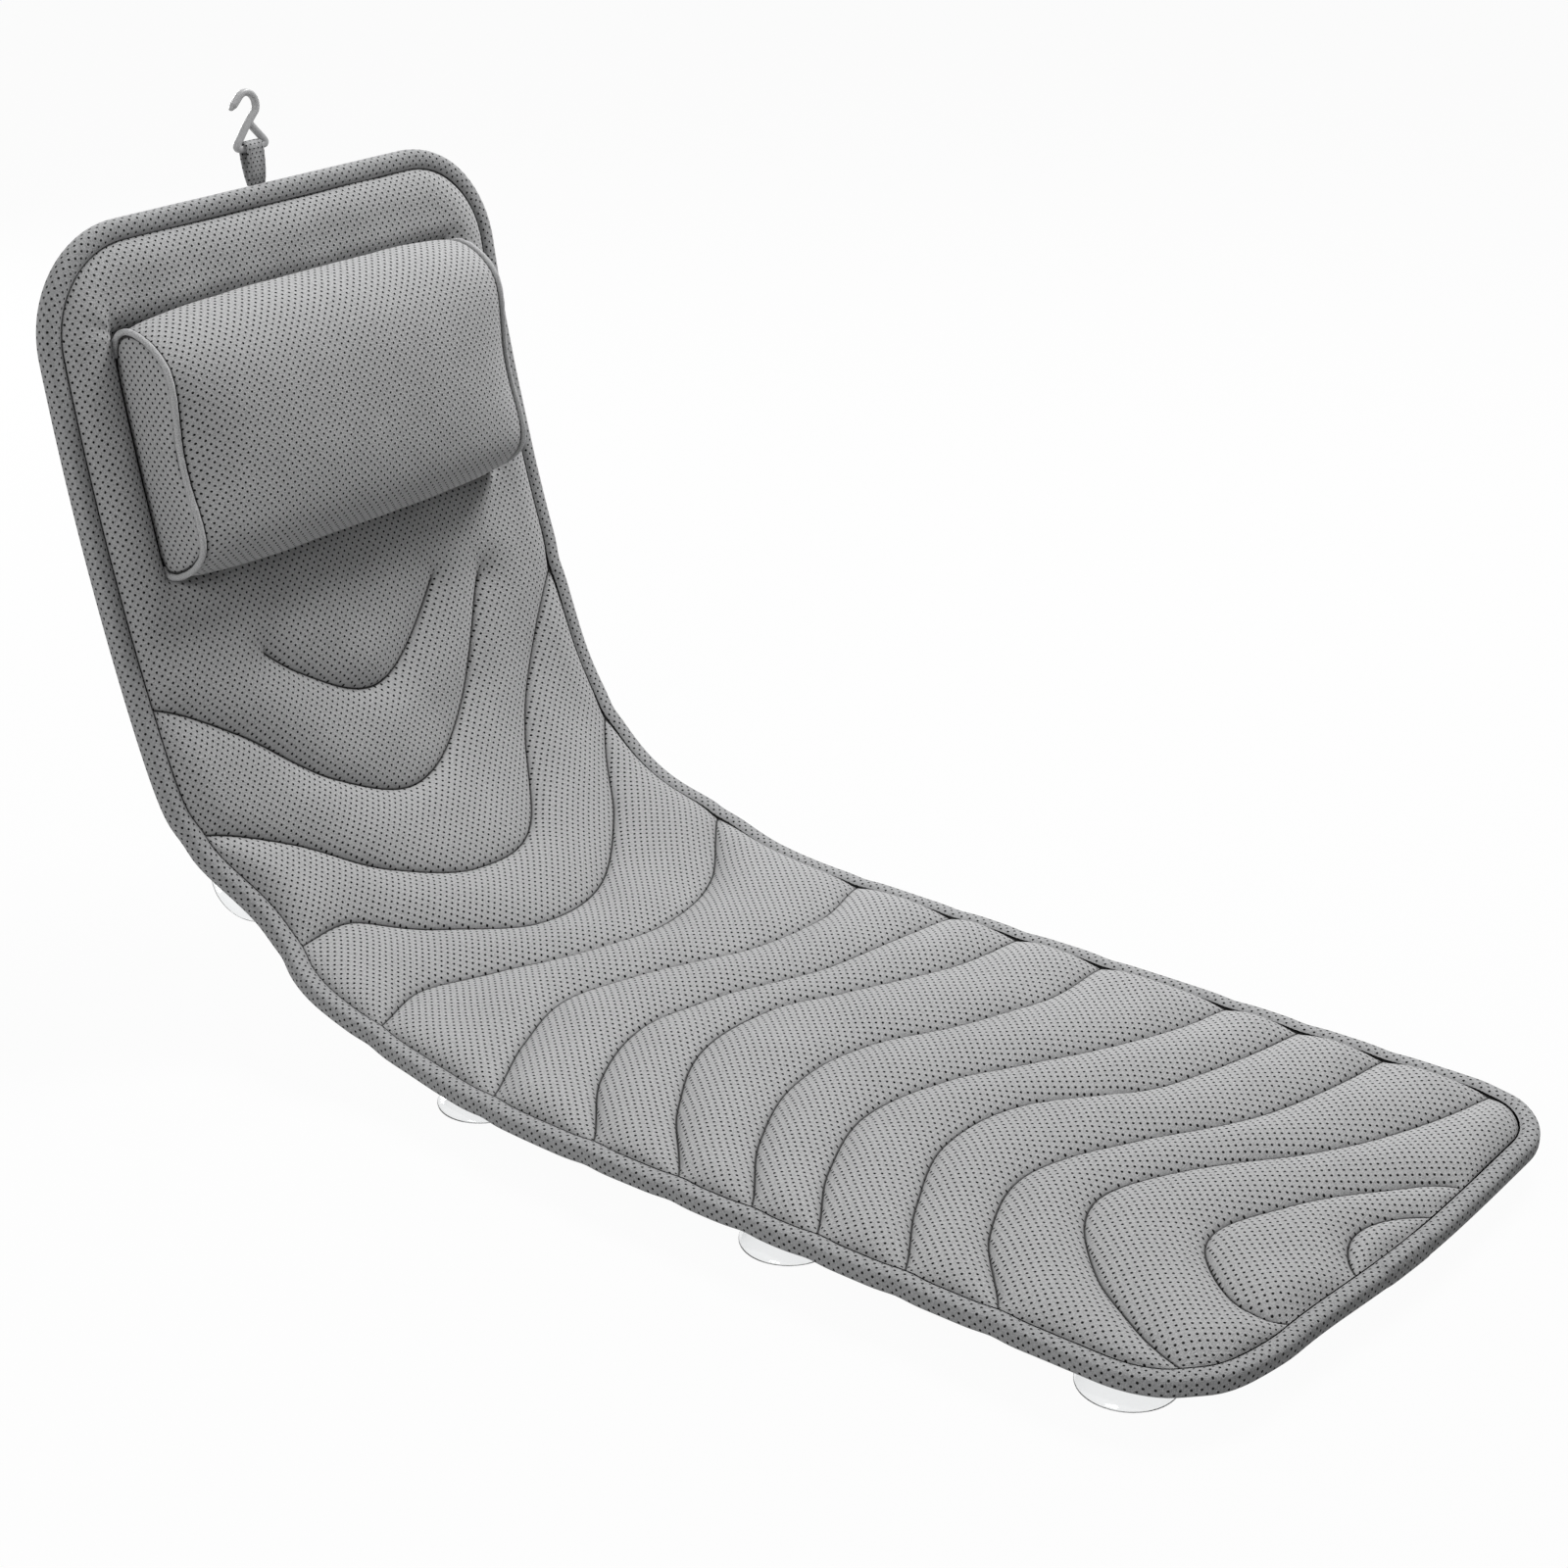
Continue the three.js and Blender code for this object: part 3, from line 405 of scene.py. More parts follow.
def pierced_mesh_group():
    """Knitted cloth with staggered round holes. Every second row of holes is moved by half a pitch, a
    hole's mask falls off over its rim, and short strands of yarn lie both ways between the holes."""
    group = bpy.data.node_groups.new("pierced_mesh", "ShaderNodeTree")
    face = group.interface
    face.new_socket("Cloth", in_out="INPUT", socket_type="NodeSocketVector")
    for name in ("Pitch", "Row", "Hole"):
        face.new_socket(name, in_out="INPUT", socket_type="NodeSocketFloat")
    for name in ("Holes", "Height", "Tone"):
        face.new_socket(name, in_out="OUTPUT", socket_type="NodeSocketFloat")
    given = group.nodes.new("NodeGroupInput")
    put = group.nodes.new("NodeGroupOutput")
    at = node(group, "SeparateXYZ", inputs={0: given.outputs["Cloth"]})
    row = maths(group, "DIVIDE", at.outputs["Y"], given.outputs["Row"])
    row_number = maths(group, "FLOOR", row)
    stagger = maths(group, "MULTIPLY", maths(group, "FLOORED_MODULO", row_number, 2.0), 0.5)
    column = maths(group, "ADD", maths(group, "DIVIDE", at.outputs["X"], given.outputs["Pitch"]), stagger)
    squares = []
    for place, size in ((column, "Pitch"), (row, "Row")):
        share = maths(group, "SUBTRACT", maths(group, "FRACT", place), 0.5)
        off = maths(group, "MULTIPLY", share, given.outputs[size])
        squares.append(maths(group, "MULTIPLY", off, off))
    away = maths(group, "SQRT", maths(group, "ADD", *squares))
    away = maths(group, "DIVIDE", away, given.outputs["Hole"])
    holes = maths(group, "SUBTRACT", 1.0, between(group, away, *HOLE_RIM))
    from_lip = maths(group, "ABSOLUTE", maths(group, "SUBTRACT", away, LIP_AT))
    lip = maths(group, "SUBTRACT", 1.0, between(group, from_lip, 0.0, LIP_WIDTH))
    strands = []
    for squeeze in YARN_RUNS:
        run = node(group, "Mapping", inputs={"Vector": given.outputs["Cloth"], "Scale": squeeze}).outputs[0]
        strand = node(group, "TexNoise", inputs={"Vector": run, "Scale": YARN_SCALE, "Detail": 1.0})
        strands.append(maths(group, "SUBTRACT", strand.outputs["Fac"], 0.5))
    yarn = maths(group, "ADD", *strands)
    height = 0.0
    for form, amount in ((yarn, YARN_HEIGHT), (lip, LIP_HEIGHT), (holes, HOLE_HEIGHT)):
        height = maths(group, "MULTIPLY_ADD", form, amount, height)
    tone = maths(group, "MULTIPLY_ADD", yarn, YARN_TONE, 1.0)
    for scale, amount in TONE_NOISE:
        noise = node(group, "TexNoise", inputs={"Vector": given.outputs["Cloth"], "Scale": scale})
        noise.inputs["Detail"].default_value = 2.0
        drift = maths(group, "SUBTRACT", noise.outputs["Fac"], 0.5)
        tone = maths(group, "MULTIPLY_ADD", drift, amount, tone)
    for name, value in (("Holes", holes), ("Height", height), ("Tone", tone)):
        group.links.new(value, put.inputs[name])
    return group


pierced_mesh = pierced_mesh_group()


def new_material(name):
    """New material, with its node tree and its shader."""
    material = bpy.data.materials.new(name)
    material.use_nodes = True
    tree = material.node_tree
    return material, tree, tree.nodes["Principled BSDF"]


def scaled_colour(tree, colour, factor):
    """A colour times a value that changes over the surface."""
    return node(tree, "VectorMath", operation="SCALE", inputs={0: colour[:3], "Scale": factor}).outputs[0]


def mesh_cloth(
        name, grey, pitch=HOLE_PITCH, row=HOLE_ROW, hole=HOLE_RADIUS, seam_shade_width=0.0, holes_show=1.0):
    """Pierced mesh cloth: yarn tone times the grey, near black in the holes as painted shade inside them,
    and where a seam distance is kept on the points, a dark line for the thread and painted shade deep in the
    crease, with a softer painted shade beside it."""
    material, tree, shader = new_material(name)
    uv = node(tree, "UVMap", uv_map="cloth")
    weave = tree.nodes.new("ShaderNodeGroup")
    weave.node_tree = pierced_mesh
    tree.links.new(uv.outputs[0], weave.inputs["Cloth"])
    for key, value in (("Pitch", pitch), ("Row", row), ("Hole", hole)):
        weave.inputs[key].default_value = value
    tone = weave.outputs["Tone"]
    height = weave.outputs["Height"]
    # Painted shade along seams: on the line, the thread and the shade deep in its crease; beside it, softer
    # shade
    if seam_shade_width:
        seam = node(tree, "Attribute", attribute_name="seam").outputs["Fac"]
        shade = between(tree, seam, *SHADE_REACH)
        line = between(tree, seam, 0.2 * seam_shade_width, seam_shade_width)
        for mask, least in ((shade, SEAM_SHADE), (line, SEAM_LINE_SHADE)):
            tone = maths(tree, "MULTIPLY", tone, maths(tree, "MULTIPLY_ADD", mask, 1 - least, least))
    cloth = scaled_colour(tree, grey, tone)
    # Painted shade in the holes: near black where the mask is, less where holes_show is under 1
    hole_shade = maths(tree, "MULTIPLY", weave.outputs["Holes"], holes_show)
    mixed = node(tree, "Mix", data_type="RGBA", inputs={0: hole_shade, 6: cloth, 7: HOLE_SHADE_GREY})
    tree.links.new(mixed.outputs[2], shader.inputs["Base Color"])
    bump = node(tree, "Bump", inputs={"Strength": 0.55, "Distance": 0.0006, "Height": height})
    tree.links.new(bump.outputs[0], shader.inputs["Normal"])
    shader.inputs["Roughness"].default_value = 0.88
    shader.inputs["Specular IOR Level"].default_value = 0.12
    shader.inputs["Sheen Weight"].default_value = 0.05
    shader.inputs["Sheen Roughness"].default_value = 0.5
    return material


# The face's fine forms: puckers beside the seams, ripples, folds that fan out from the pillow's upper left
# corner, and the padding pressed in under the pillow
PUCKER_LENGTH, PUCKER_REACH, PUCKER_DEPTH = 0.0125, 0.008, 0.00035
RIPPLE_DEPTH = 0.0007
CORNER_FOLDS, CORNER_REACH, CORNER_DEPTH = 6, 0.020, 0.0011
PILLOW_PRESS = 0.0014
GROOVE_WIDTH = 0.0008
FACE_SEAM_SHADE_WIDTH = 0.0011
FACE_GREY = (0.428, 0.429, 0.432, 1)

x, s, lift, seam = quilt_grid(columns=181, rows=14)
gather = np.sin(2 * np.pi * x / PUCKER_LENGTH + 2.5 * ripple(x, s, 0.05, 3))
pucker = gather * np.exp(-seam / PUCKER_REACH) * ramp(seam, 0, 0.004)
corner_x, corner_s = -x - PILLOW_SEAT[0] - 0.003, s - PILLOW_SEAT[1] - PILLOW_SEAT[2]
reach = np.hypot(corner_x, corner_s)
fan = np.cos(CORNER_FOLDS * np.arctan2(corner_s, corner_x) + 0.6)
pulled = fan * np.exp(-reach / CORNER_REACH) * ramp(reach, 0.001, 0.012)
face_top = N_SEAM + (N_CROWN - N_SEAM) * lift + RIPPLE_DEPTH * lift * ripple(x, s, 0.06, 5)
face_top = face_top + PUCKER_DEPTH * pucker * lift + CORNER_DEPTH * pulled * lift
face_top = face_top - PILLOW_PRESS * (1 - pillow_rise(x, s))
# Painted shade in the groove along the binding: the face's seam distance also runs from just under the
# binding's inner edge, so the dark line and the shade beside it are painted there
binding_groove_shade = np.maximum(depth_inside(x, s, BIND_WIDTH - GROOVE_WIDTH), 0)
face_flat = slab("mat_face_flat", x, s, face_top, N_CORE, np.minimum(seam, binding_groove_shade))
face_cloth = mesh_cloth("quilted_mesh", FACE_GREY, seam_shade_width=FACE_SEAM_SHADE_WIDTH)
for i, (name, span, sections) in enumerate(zip(SPAN_NAMES, SPANS, SPAN_SECTIONS)):
    face = cut_and_bend(face_flat, f"{name}_quilted_face", *span, face_cloth)
    follow_fold(face, i)
    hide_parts(*(f"{section}_{layer}" for section in sections for layer in ("quilt", "core")))


# Rear cover
# A plain knitted mesh that closes the underside. The quilting stitches come through it as shallow channels,
# and it lies flat around the cups' buttonholes. Its edges go into the binding with the other layers.
CUP_ROWS = {
    "foot": (0.163, 0.088), "thigh": (0.163, 0.316), "hip": (0.154, 0.562),
    "lumbar": (0.142, FOLDS[2] - 0.024), "back": (0.142, 0.945), "head": (0.142, 1.135),
}
REAR_RISE, CUP_FLAT, REAR_GAP = 0.0016, (0.014, 0.034), 0.0003
REAR_GREY = (0.24, 0.242, 0.246, 1)

x, s, lift, seam = quilt_grid(columns=81, rows=7)
cup_away = np.min([np.hypot(np.abs(x) - cx, s - cs) for cx, cs in CUP_ROWS.values()], axis=0)
rear_low = N_REAR - REAR_RISE * lift * ramp(cup_away, *CUP_FLAT)
rear_flat = slab("mat_rear_flat", x, s, N_CORE - REAR_GAP, rear_low, seam)
rear_cloth = mesh_cloth("rear_mesh", REAR_GREY, 0.0030, 0.0024, 0.0006, seam_shade_width=FACE_SEAM_SHADE_WIDTH)
for i, (name, span, sections) in enumerate(zip(SPAN_NAMES, SPANS, SPAN_SECTIONS)):
    rear = cut_and_bend(rear_flat, f"{name}_rear_mesh", *span, rear_cloth)
    follow_fold(rear, i)
    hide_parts(*(f"{section}_rear_cover" for section in sections))


# Edge binding
# A strip of the same pierced mesh, rolled over a soft cord of padding and sewn around the edges of all
# the layers. The sewing draws its inner edge down into a groove, and its two ends lap at the middle of the
# foot edge.
BIND_THICK, BIND_STEP, BIND_UNEVEN = 0.013, 0.0045, 0.03
SLOT, SLOT_DEPTH = 0.0049, 0.0009
LAP_LENGTH, LAP_RISE, LAP_X, LAP_S = 0.046, 0.0011, -0.004, 0.05
BIND_GREY = (0.362, 0.364, 0.368, 1)


def outline_path(inset, step):
    """Closed path around the mat, foot edge first, running against the clock: four straight sides and four
    quarter circles, with points about a step apart."""
    half = MAT_WIDTH / 2 - inset
    low, high = inset, MAT_LENGTH - inset
    left, right, head = FOOT_CORNERS[0] - inset, FOOT_CORNERS[1] - inset, HEAD_CORNER - inset

    def run(x0, s0, x1, s1):
        t = np.arange(0, 1, step / math.hypot(x1 - x0, s1 - s0))[:, None]
        return np.array([[x0, s0]]) * (1 - t) + np.array([[x1, s1]]) * t

    def corner(cx, cs, radius, start):
        a = start + np.arange(0, 1, step / (radius * math.pi / 2)) * math.pi / 2
        return np.stack([cx + radius * np.cos(a), cs + radius * np.sin(a)], -1)

    path = np.concatenate([
        run(left - half, low, half - right, low), corner(half - right, low + right, right, -math.pi / 2),
        run(half, low + right, half, high - head), corner(half - head, high - head, head, 0),
        run(half - head, high, head - half, high), corner(head - half, high - head, head, math.pi / 2),
        run(-half, high - head, -half, low + left), corner(left - half, low + left, left, math.pi),
    ])
    x, s = path.T
    pull = np.where(x < 0, drawn_edge(s, -1), drawn_edge(s, 1)) * ramp(np.abs(x), 0.10, 0.18)
    return x - np.sign(x) * pull, s


def binding_profile():
    """Closed C-shaped section as (outward, height): a rolled upper half, its mirror below, and the slot
    that the layers fill. The roll is a superellipse with its foot at the slot's edge."""
    a = np.linspace(0, np.pi, 17)
    out = BIND_WIDTH / 2 * np.sign(np.cos(a)) * np.abs(np.cos(a)) ** 0.85
    up = BIND_THICK / 2 * np.sin(a) ** 0.62
    up = np.where((out < 0) & (up < SLOT), SLOT, up)
    upper = np.stack([out, up], -1)
    lower = upper[:0:-1] * (1, -1)
    slot = np.array([[SLOT_DEPTH, -SLOT], [SLOT_DEPTH, SLOT]])
    return np.concatenate([lower, upper, slot[::-1]])[::-1]


px, ps = outline_path(BIND_WIDTH / 2, BIND_STEP)
way_x, way_s = np.roll(px, -1) - np.roll(px, 1), np.roll(ps, -1) - np.roll(ps, 1)
out_x, out_s = way_s / np.hypot(way_x, way_s), -way_x / np.hypot(way_x, way_s)
profile = binding_profile()
lap = ramp(LAP_LENGTH / 2 - np.abs(px - LAP_X), 0, 0.004) * (ps < LAP_S)
swell = 1 + BIND_UNEVEN * ripple(px, ps, 0.05, 11) + lap * LAP_RISE / (BIND_THICK / 2)
out, up = profile[:, 0], profile[:, 1]
outside = np.abs(up) > SLOT + 1e-6
n = np.where(outside, np.sign(up) * np.maximum(np.abs(up) * swell[:, None], SLOT), up)
ring = np.stack([px[:, None] + out_x[:, None] * out, ps[:, None] + out_s[:, None] * out, n], -1)
faces, places = grid_faces(*ring.shape[:2], close_rows=True, close_columns=True)
run_length = np.append(0, np.cumsum(np.hypot(np.roll(px, -1) - px, np.roll(ps, -1) - ps)))
girth = np.append(0, np.cumsum(np.hypot(*(np.roll(profile, -1, 0) - profile).T)))
cloth = np.stack([girth[places[..., 1]], run_length[places[..., 0]]], -1)
closed = np.pad(bent(*np.moveaxis(ring, -1, 0)), ((1, 1), (1, 1), (0, 0)), mode="wrap")
facing = facing_of(closed)[1:-1, 1:-1]
# The binding's seam distance runs from its inner edge and from the ends of the lap, so a dark line and shade
# are painted there: the thread, with painted shade in the groove and under the lap's edges
inner = np.broadcast_to(np.abs(out + BIND_WIDTH / 2), ring.shape[:2])
lap_edge = np.abs(np.abs(px - LAP_X) - LAP_LENGTH / 2) + np.where(ps < LAP_S, 0, 1)
seam = np.minimum(inner, lap_edge[:, None])
binding_flat = cloth_mesh("binding_flat", ring, faces, cloth, facing=facing, seam=seam)
binding_cloth = mesh_cloth("binding_mesh", BIND_GREY, seam_shade_width=0.0012)
BINDING_NODES = (
    ("seat_binding",),
    tuple(f"lumbar_{half}_binding_{side}" for half in ("lower", "upper") for side in ("left", "right")),
    ("backrest_binding",),
)
for i, (name, span, nodes) in enumerate(zip(SPAN_NAMES, SPANS, BINDING_NODES)):
    binding = cut_and_bend(binding_flat, f"{name}_rolled_binding", *span, binding_cloth)
    follow_fold(binding, i)
    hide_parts(*nodes)


# Suction cups
# Clear soft vinyl, moulded in one: a thin flared bell, a neck through the rear cover's buttonhole and a
# mushroom head behind it that keeps the cup in place.
ACROSS = np.array([1, 0, 0])
CUP_SIDES = 56
CUP_PROFILE = np.array([
    [0, 5.1], [5.8, 5.1], [7.1, 4.6], [7.5, 3.6], [7.3, 2.4], [6.4, 1.9], [4.8, 1.8], [4.5, 1.2],
    [4.5, -1.3], [5.4, -1.8], [7.6, -2.0], [9.4, -2.7], [10.6, -4.3], [12.0, -6.6], [14.6, -9.0],
    [18.4, -11.3], [22.4, -13.6], [25.8, -16.1], [28.1, -18.3], [28.9, -19.3], [28.9, -19.8],
    [28.4, -20.0], [27.5, -19.9], [25.6, -18.3], [22.0, -15.6], [17.8, -13.1], [13.6, -10.9],
    [10.0, -9.3], [6.0, -8.3], [2.5, -7.9], [0, -7.8],
]) / 1000
CUP_BODIES = {
    "foot": "seat", "thigh": "seat", "hip": "seat",
    "lumbar": "lumbar_upper", "back": "backrest", "head": "backrest",
}


def turned(profile, sides, x, s, n):
    """Profile of (radius, height) turned about the mat's normal at (x, s, n), as rings of points."""
    a = np.arange(sides) * 2 * np.pi / sides
    slope = middle_line(np.array(s))[2]
    along = np.array([0, np.cos(slope), np.sin(slope)])
    square = np.array([0, -np.sin(slope), np.cos(slope)])
    radius, height = profile[:, :1], profile[:, 1:]
    rings = (radius * np.cos(a))[..., None] * ACROSS + (radius * np.sin(a))[..., None] * along
    return bent(x, s, n) + rings + height[..., None] * square


def close_shell(mesh):
    """Merges poles and seams, fills open ends and turns the faces outwards."""
    bm = bmesh.new()
    bm.from_mesh(mesh)
    bmesh.ops.remove_doubles(bm, verts=bm.verts, dist=1e-6)
    bmesh.ops.holes_fill(bm, edges=[e for e in bm.edges if e.is_boundary], sides=0)
    bmesh.ops.recalc_face_normals(bm, faces=bm.faces)
    bm.to_mesh(mesh)
    bm.free()
    mesh.shade_smooth()
    return mesh


clear_vinyl, tree, shader = new_material("clear_vinyl")
shader.inputs["Base Color"].default_value = (0.90, 0.91, 0.915, 1)
shader.inputs["Roughness"].default_value = 0.07
shader.inputs["IOR"].default_value = 1.45
shader.inputs["Transmission Weight"].default_value = 1.0
flow = node(tree, "TexNoise", inputs={
    "Vector": node(tree, "TexCoord").outputs["Object"], "Scale": 70.0, "Detail": 2.0})
waves = node(tree, "Bump", inputs={"Strength": 0.12, "Distance": 0.0006, "Height": flow.outputs["Fac"]})
tree.links.new(waves.outputs[0], shader.inputs["Normal"])

for row, (cx, s) in CUP_ROWS.items():
    for side, x in (("left", -cx), ("right", cx)):
        shell = turned(CUP_PROFILE, CUP_SIDES, x, s, N_REAR)
        faces, places = grid_faces(*shell.shape[:2], close_columns=True)
        mesh = close_shell(cloth_mesh(f"suction_cup_{row}_{side}", shell, faces, places / 10))
        mesh.materials.append(clear_vinyl)
        cup = add_piece(mesh.name, mesh)
        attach(cup, CUP_BODIES[row])
        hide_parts(f"cup_{row}_{side}")


# Buttonhole rings
# Small rings of soft grey rubber around each buttonhole, moulded with a raised rim and sewn on, so that the
# cup's neck doesn't tear the mesh.
RING_SIDES = 40
RING_PROFILE = np.array([
    [4.9, -0.5], [4.9, -1.2], [5.5, -1.5], [8.0, -1.6], [10.4, -1.5], [11.2, -1.2], [12.0, -1.5],
    [12.8, -1.3], [13.0, -0.9], [12.8, -0.4], [9.0, -0.3], [5.4, -0.3],
]) / 1000
RING_GREY = (0.11, 0.111, 0.114)
ring_rubber, tree, shader = new_material("ring_rubber")
place = node(tree, "TexCoord").outputs["Object"]
bloom = node(tree, "TexNoise", inputs={"Vector": place, "Scale": 160.0, "Detail": 3.0}).outputs["Fac"]
grain = node(tree, "TexNoise", inputs={"Vector": place, "Scale": 2600.0, "Detail": 2.0}).outputs["Fac"]
tone = maths(tree, "MULTIPLY_ADD", maths(tree, "SUBTRACT", bloom, 0.5), 0.5, 1.0)
tree.links.new(scaled_colour(tree, RING_GREY, tone), shader.inputs["Base Color"])
tree.links.new(maths(tree, "MULTIPLY_ADD", bloom, 0.25, 0.45), shader.inputs["Roughness"])
pores = node(tree, "Bump", inputs={"Strength": 0.2, "Distance": 0.0002, "Height": grain})
tree.links.new(pores.outputs[0], shader.inputs["Normal"])
for row, (cx, s) in CUP_ROWS.items():
    for side, x in (("left", -cx), ("right", cx)):
        shell = turned(RING_PROFILE, RING_SIDES, x, s, N_REAR)
        faces, places = grid_faces(*shell.shape[:2], close_rows=True, close_columns=True)
        mesh = close_shell(cloth_mesh(f"buttonhole_ring_{row}_{side}", shell, faces, places / 10))
        mesh.materials.append(ring_rubber)
        grommet = add_piece(mesh.name, mesh)
        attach(grommet, CUP_BODIES[row])
        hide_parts(f"cup_ring_{row}_{side}")


# Head pillow
# A cover of the pierced mesh around loose fibre, sewn on to the backrest by its back panel. Its ends show
# two rolls with a shallow valley between them, and the filling rounds out the middle to one crown.
PILLOW_FOOT, PILLOW_HALF, PILLOW_N = 0.978, 0.1464, 0.0028
PILLOW_EASE, PILLOW_HEM, PILLOW_LOW = 0.028, 0.0006, -0.0003
FRONT_STEPS, BASE_STEPS = 116, 34
END_CROWDING = 0.97
PILLOW_SEAM_SHADE_WIDTH = 0.0010
PILLOW_OUTLINE = np.array([
    [9, 0], [5, 1.2], [2.2, 4.2], [0.9, 9.4], [0.8, 15], [2.4, 23], [6.2, 33], [13.5, 42.5],
    [24, 47.5], [40, 48], [60, 45.8], [82, 45.6], [103, 48.5], [122, 51], [137, 49.5], [149, 42],
    [157.5, 31.5], [162, 20.5], [161.4, 11.5], [157.4, 5.2], [151.5, 1.8], [145, 0.2],
]) / 1000
PILLOW_MIDDLE = np.array([
    [9, 0], [5, 1.2], [1.6, 4.2], [-0.8, 9.2], [-2.8, 15], [-3.2, 24.5], [0.6, 36], [9, 47.2],
    [22, 54.5], [40, 59.3], [60, 62.3], [82, 63.8], [103, 63.8], [122, 61.8], [139, 57], [154.5, 48],
    [165, 35.5], [169.8, 21.3], [164.8, 10.2], [158.4, 4.4], [151.8, 1.6], [145, 0.2],
]) / 1000


def even_curve(points, count):
    """Smooth curve through points, resampled to even steps, with the length at each."""
    fine = through(points.T, np.linspace(-1, 1, 800)).T
    length = np.append(0, np.cumsum(np.linalg.norm(np.diff(fine, axis=0), axis=1)))
    at = np.linspace(0, length[-1], count)
    return np.stack([np.interp(at, length, column) for column in fine.T], -1), at


def drawn_in(curve, distance):
    """The curve moved towards its right-hand side, which is the inside of the pillow."""
    way = np.gradient(curve, axis=0)
    way = way / np.linalg.norm(way, axis=1, keepdims=True)
    return curve + distance * np.stack([way[:, 1], -way[:, 0]], -1)


base = np.stack([np.linspace(0.142, 0.012, BASE_STEPS), np.full(BASE_STEPS, PILLOW_LOW)], -1)
end_section = np.concatenate([even_curve(PILLOW_OUTLINE, FRONT_STEPS)[0], base])
full_section = np.concatenate([even_curve(PILLOW_MIDDLE, FRONT_STEPS)[0], base])
inward = drawn_in(full_section, 1.0) - full_section
inward[-BASE_STEPS:] = (0, 0)
v = np.linspace(-1, 1, 111)
pillow_x = PILLOW_HALF * np.sin(v * np.pi / 2 * END_CROWDING) / np.sin(np.pi / 2 * END_CROWDING)
body_x = np.broadcast_to(pillow_x[:, None], (len(pillow_x), len(end_section)))
inside = PILLOW_HALF - np.abs(body_x)
full = 1 - np.exp(-inside / PILLOW_EASE)
step_at = np.append(0, np.cumsum(np.linalg.norm(np.diff(full_section, axis=0), axis=1)))
body_at = np.broadcast_to(step_at, body_x.shape)
soft = 0.0010 * (1 - ramp(inside, 0, 0.011)) + full * (
    0.0003 * ripple(body_x, body_at, 0.09, 21) + 0.0001 * ripple(body_x, body_at, 0.03, 22))
curve = end_section + full[..., None] * (full_section - end_section) + soft[..., None] * inward
curve[..., 1] = np.maximum(curve[..., 1], PILLOW_LOW)
body = bent(body_x, PILLOW_FOOT + curve[..., 0], PILLOW_N + curve[..., 1])
faces, places = grid_faces(*body.shape[:2], close_columns=True)
cloth_at = np.append(step_at, step_at[-1] + 0.003)
cloth = np.stack([pillow_x[places[..., 0]], cloth_at[places[..., 1]]], -1)
# The pillow's seam distance runs from both base edges and from the hems at its ends, so a dark line and
# shade are painted there: the thread, with painted shade where the pillow rests on the mat and beside the
# hems
sewn_down = np.minimum(body_at, np.abs(body_at - step_at[FRONT_STEPS - 1]))
hem = np.minimum(sewn_down, np.maximum(inside - PILLOW_HEM, 0))
mesh = close_shell(cloth_mesh("pillow_front_panel", body, faces, cloth, seam=hem))
pillow_cloth = mesh_cloth("pillow_mesh", FACE_GREY, seam_shade_width=PILLOW_SEAM_SHADE_WIDTH)
mesh.materials.append(pillow_cloth)
pillow = add_piece(mesh.name, mesh)
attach(pillow, "backrest")
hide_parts("pillow_front", "pillow_back", "pillow_filling")


# Pillow gussets and piping
# Flat ends of the same cloth, eased out by the filling and sewn to the cover all around. A thin cord in a
# finer knit is sewn into that seam along the front.
PIPING_RADIUS, PIPING_SIDES, PIPING_INSET = 0.0021, 12, 0.0012
PIPING_GREY = (0.50, 0.502, 0.506, 1)
GUSSET_INSET, GUSSET_HEM, GUSSET_LOW = 0.0032, 0.0016, 0.0004
GUSSET_STEPS, GUSSET_BASE_STEPS = 18, 24
GUSSET_MIDDLE, GUSSET_DOME = np.array([0.080, 0.024]), 0.0030
gusset_front = even_curve(PILLOW_OUTLINE, 90)[0]
gusset_base = np.stack([np.linspace(0.139, 0.014, GUSSET_BASE_STEPS), np.zeros(GUSSET_BASE_STEPS)], -1)
rim = np.concatenate([drawn_in(gusset_front, GUSSET_INSET)[2:-2], gusset_base])
rim[:, 1] = np.maximum(rim[:, 1], GUSSET_LOW)
share = np.sin(np.linspace(0, np.pi / 2, GUSSET_STEPS))
dome = np.concatenate([0.0012 + GUSSET_DOME * (1 - share ** 2.4), np.full(3, 0.0002)])
share = np.append(share, [1.0, 0.5, 0])
gusset_cloth = mesh_cloth("gusset_mesh", FACE_GREY, seam_shade_width=PILLOW_SEAM_SHADE_WIDTH)
piping_cloth = mesh_cloth("piping_knit", PIPING_GREY, 0.0021, 0.0017, 0.0004, holes_show=0.25)
around = np.arange(PIPING_SIDES) * 2 * np.pi / PIPING_SIDES
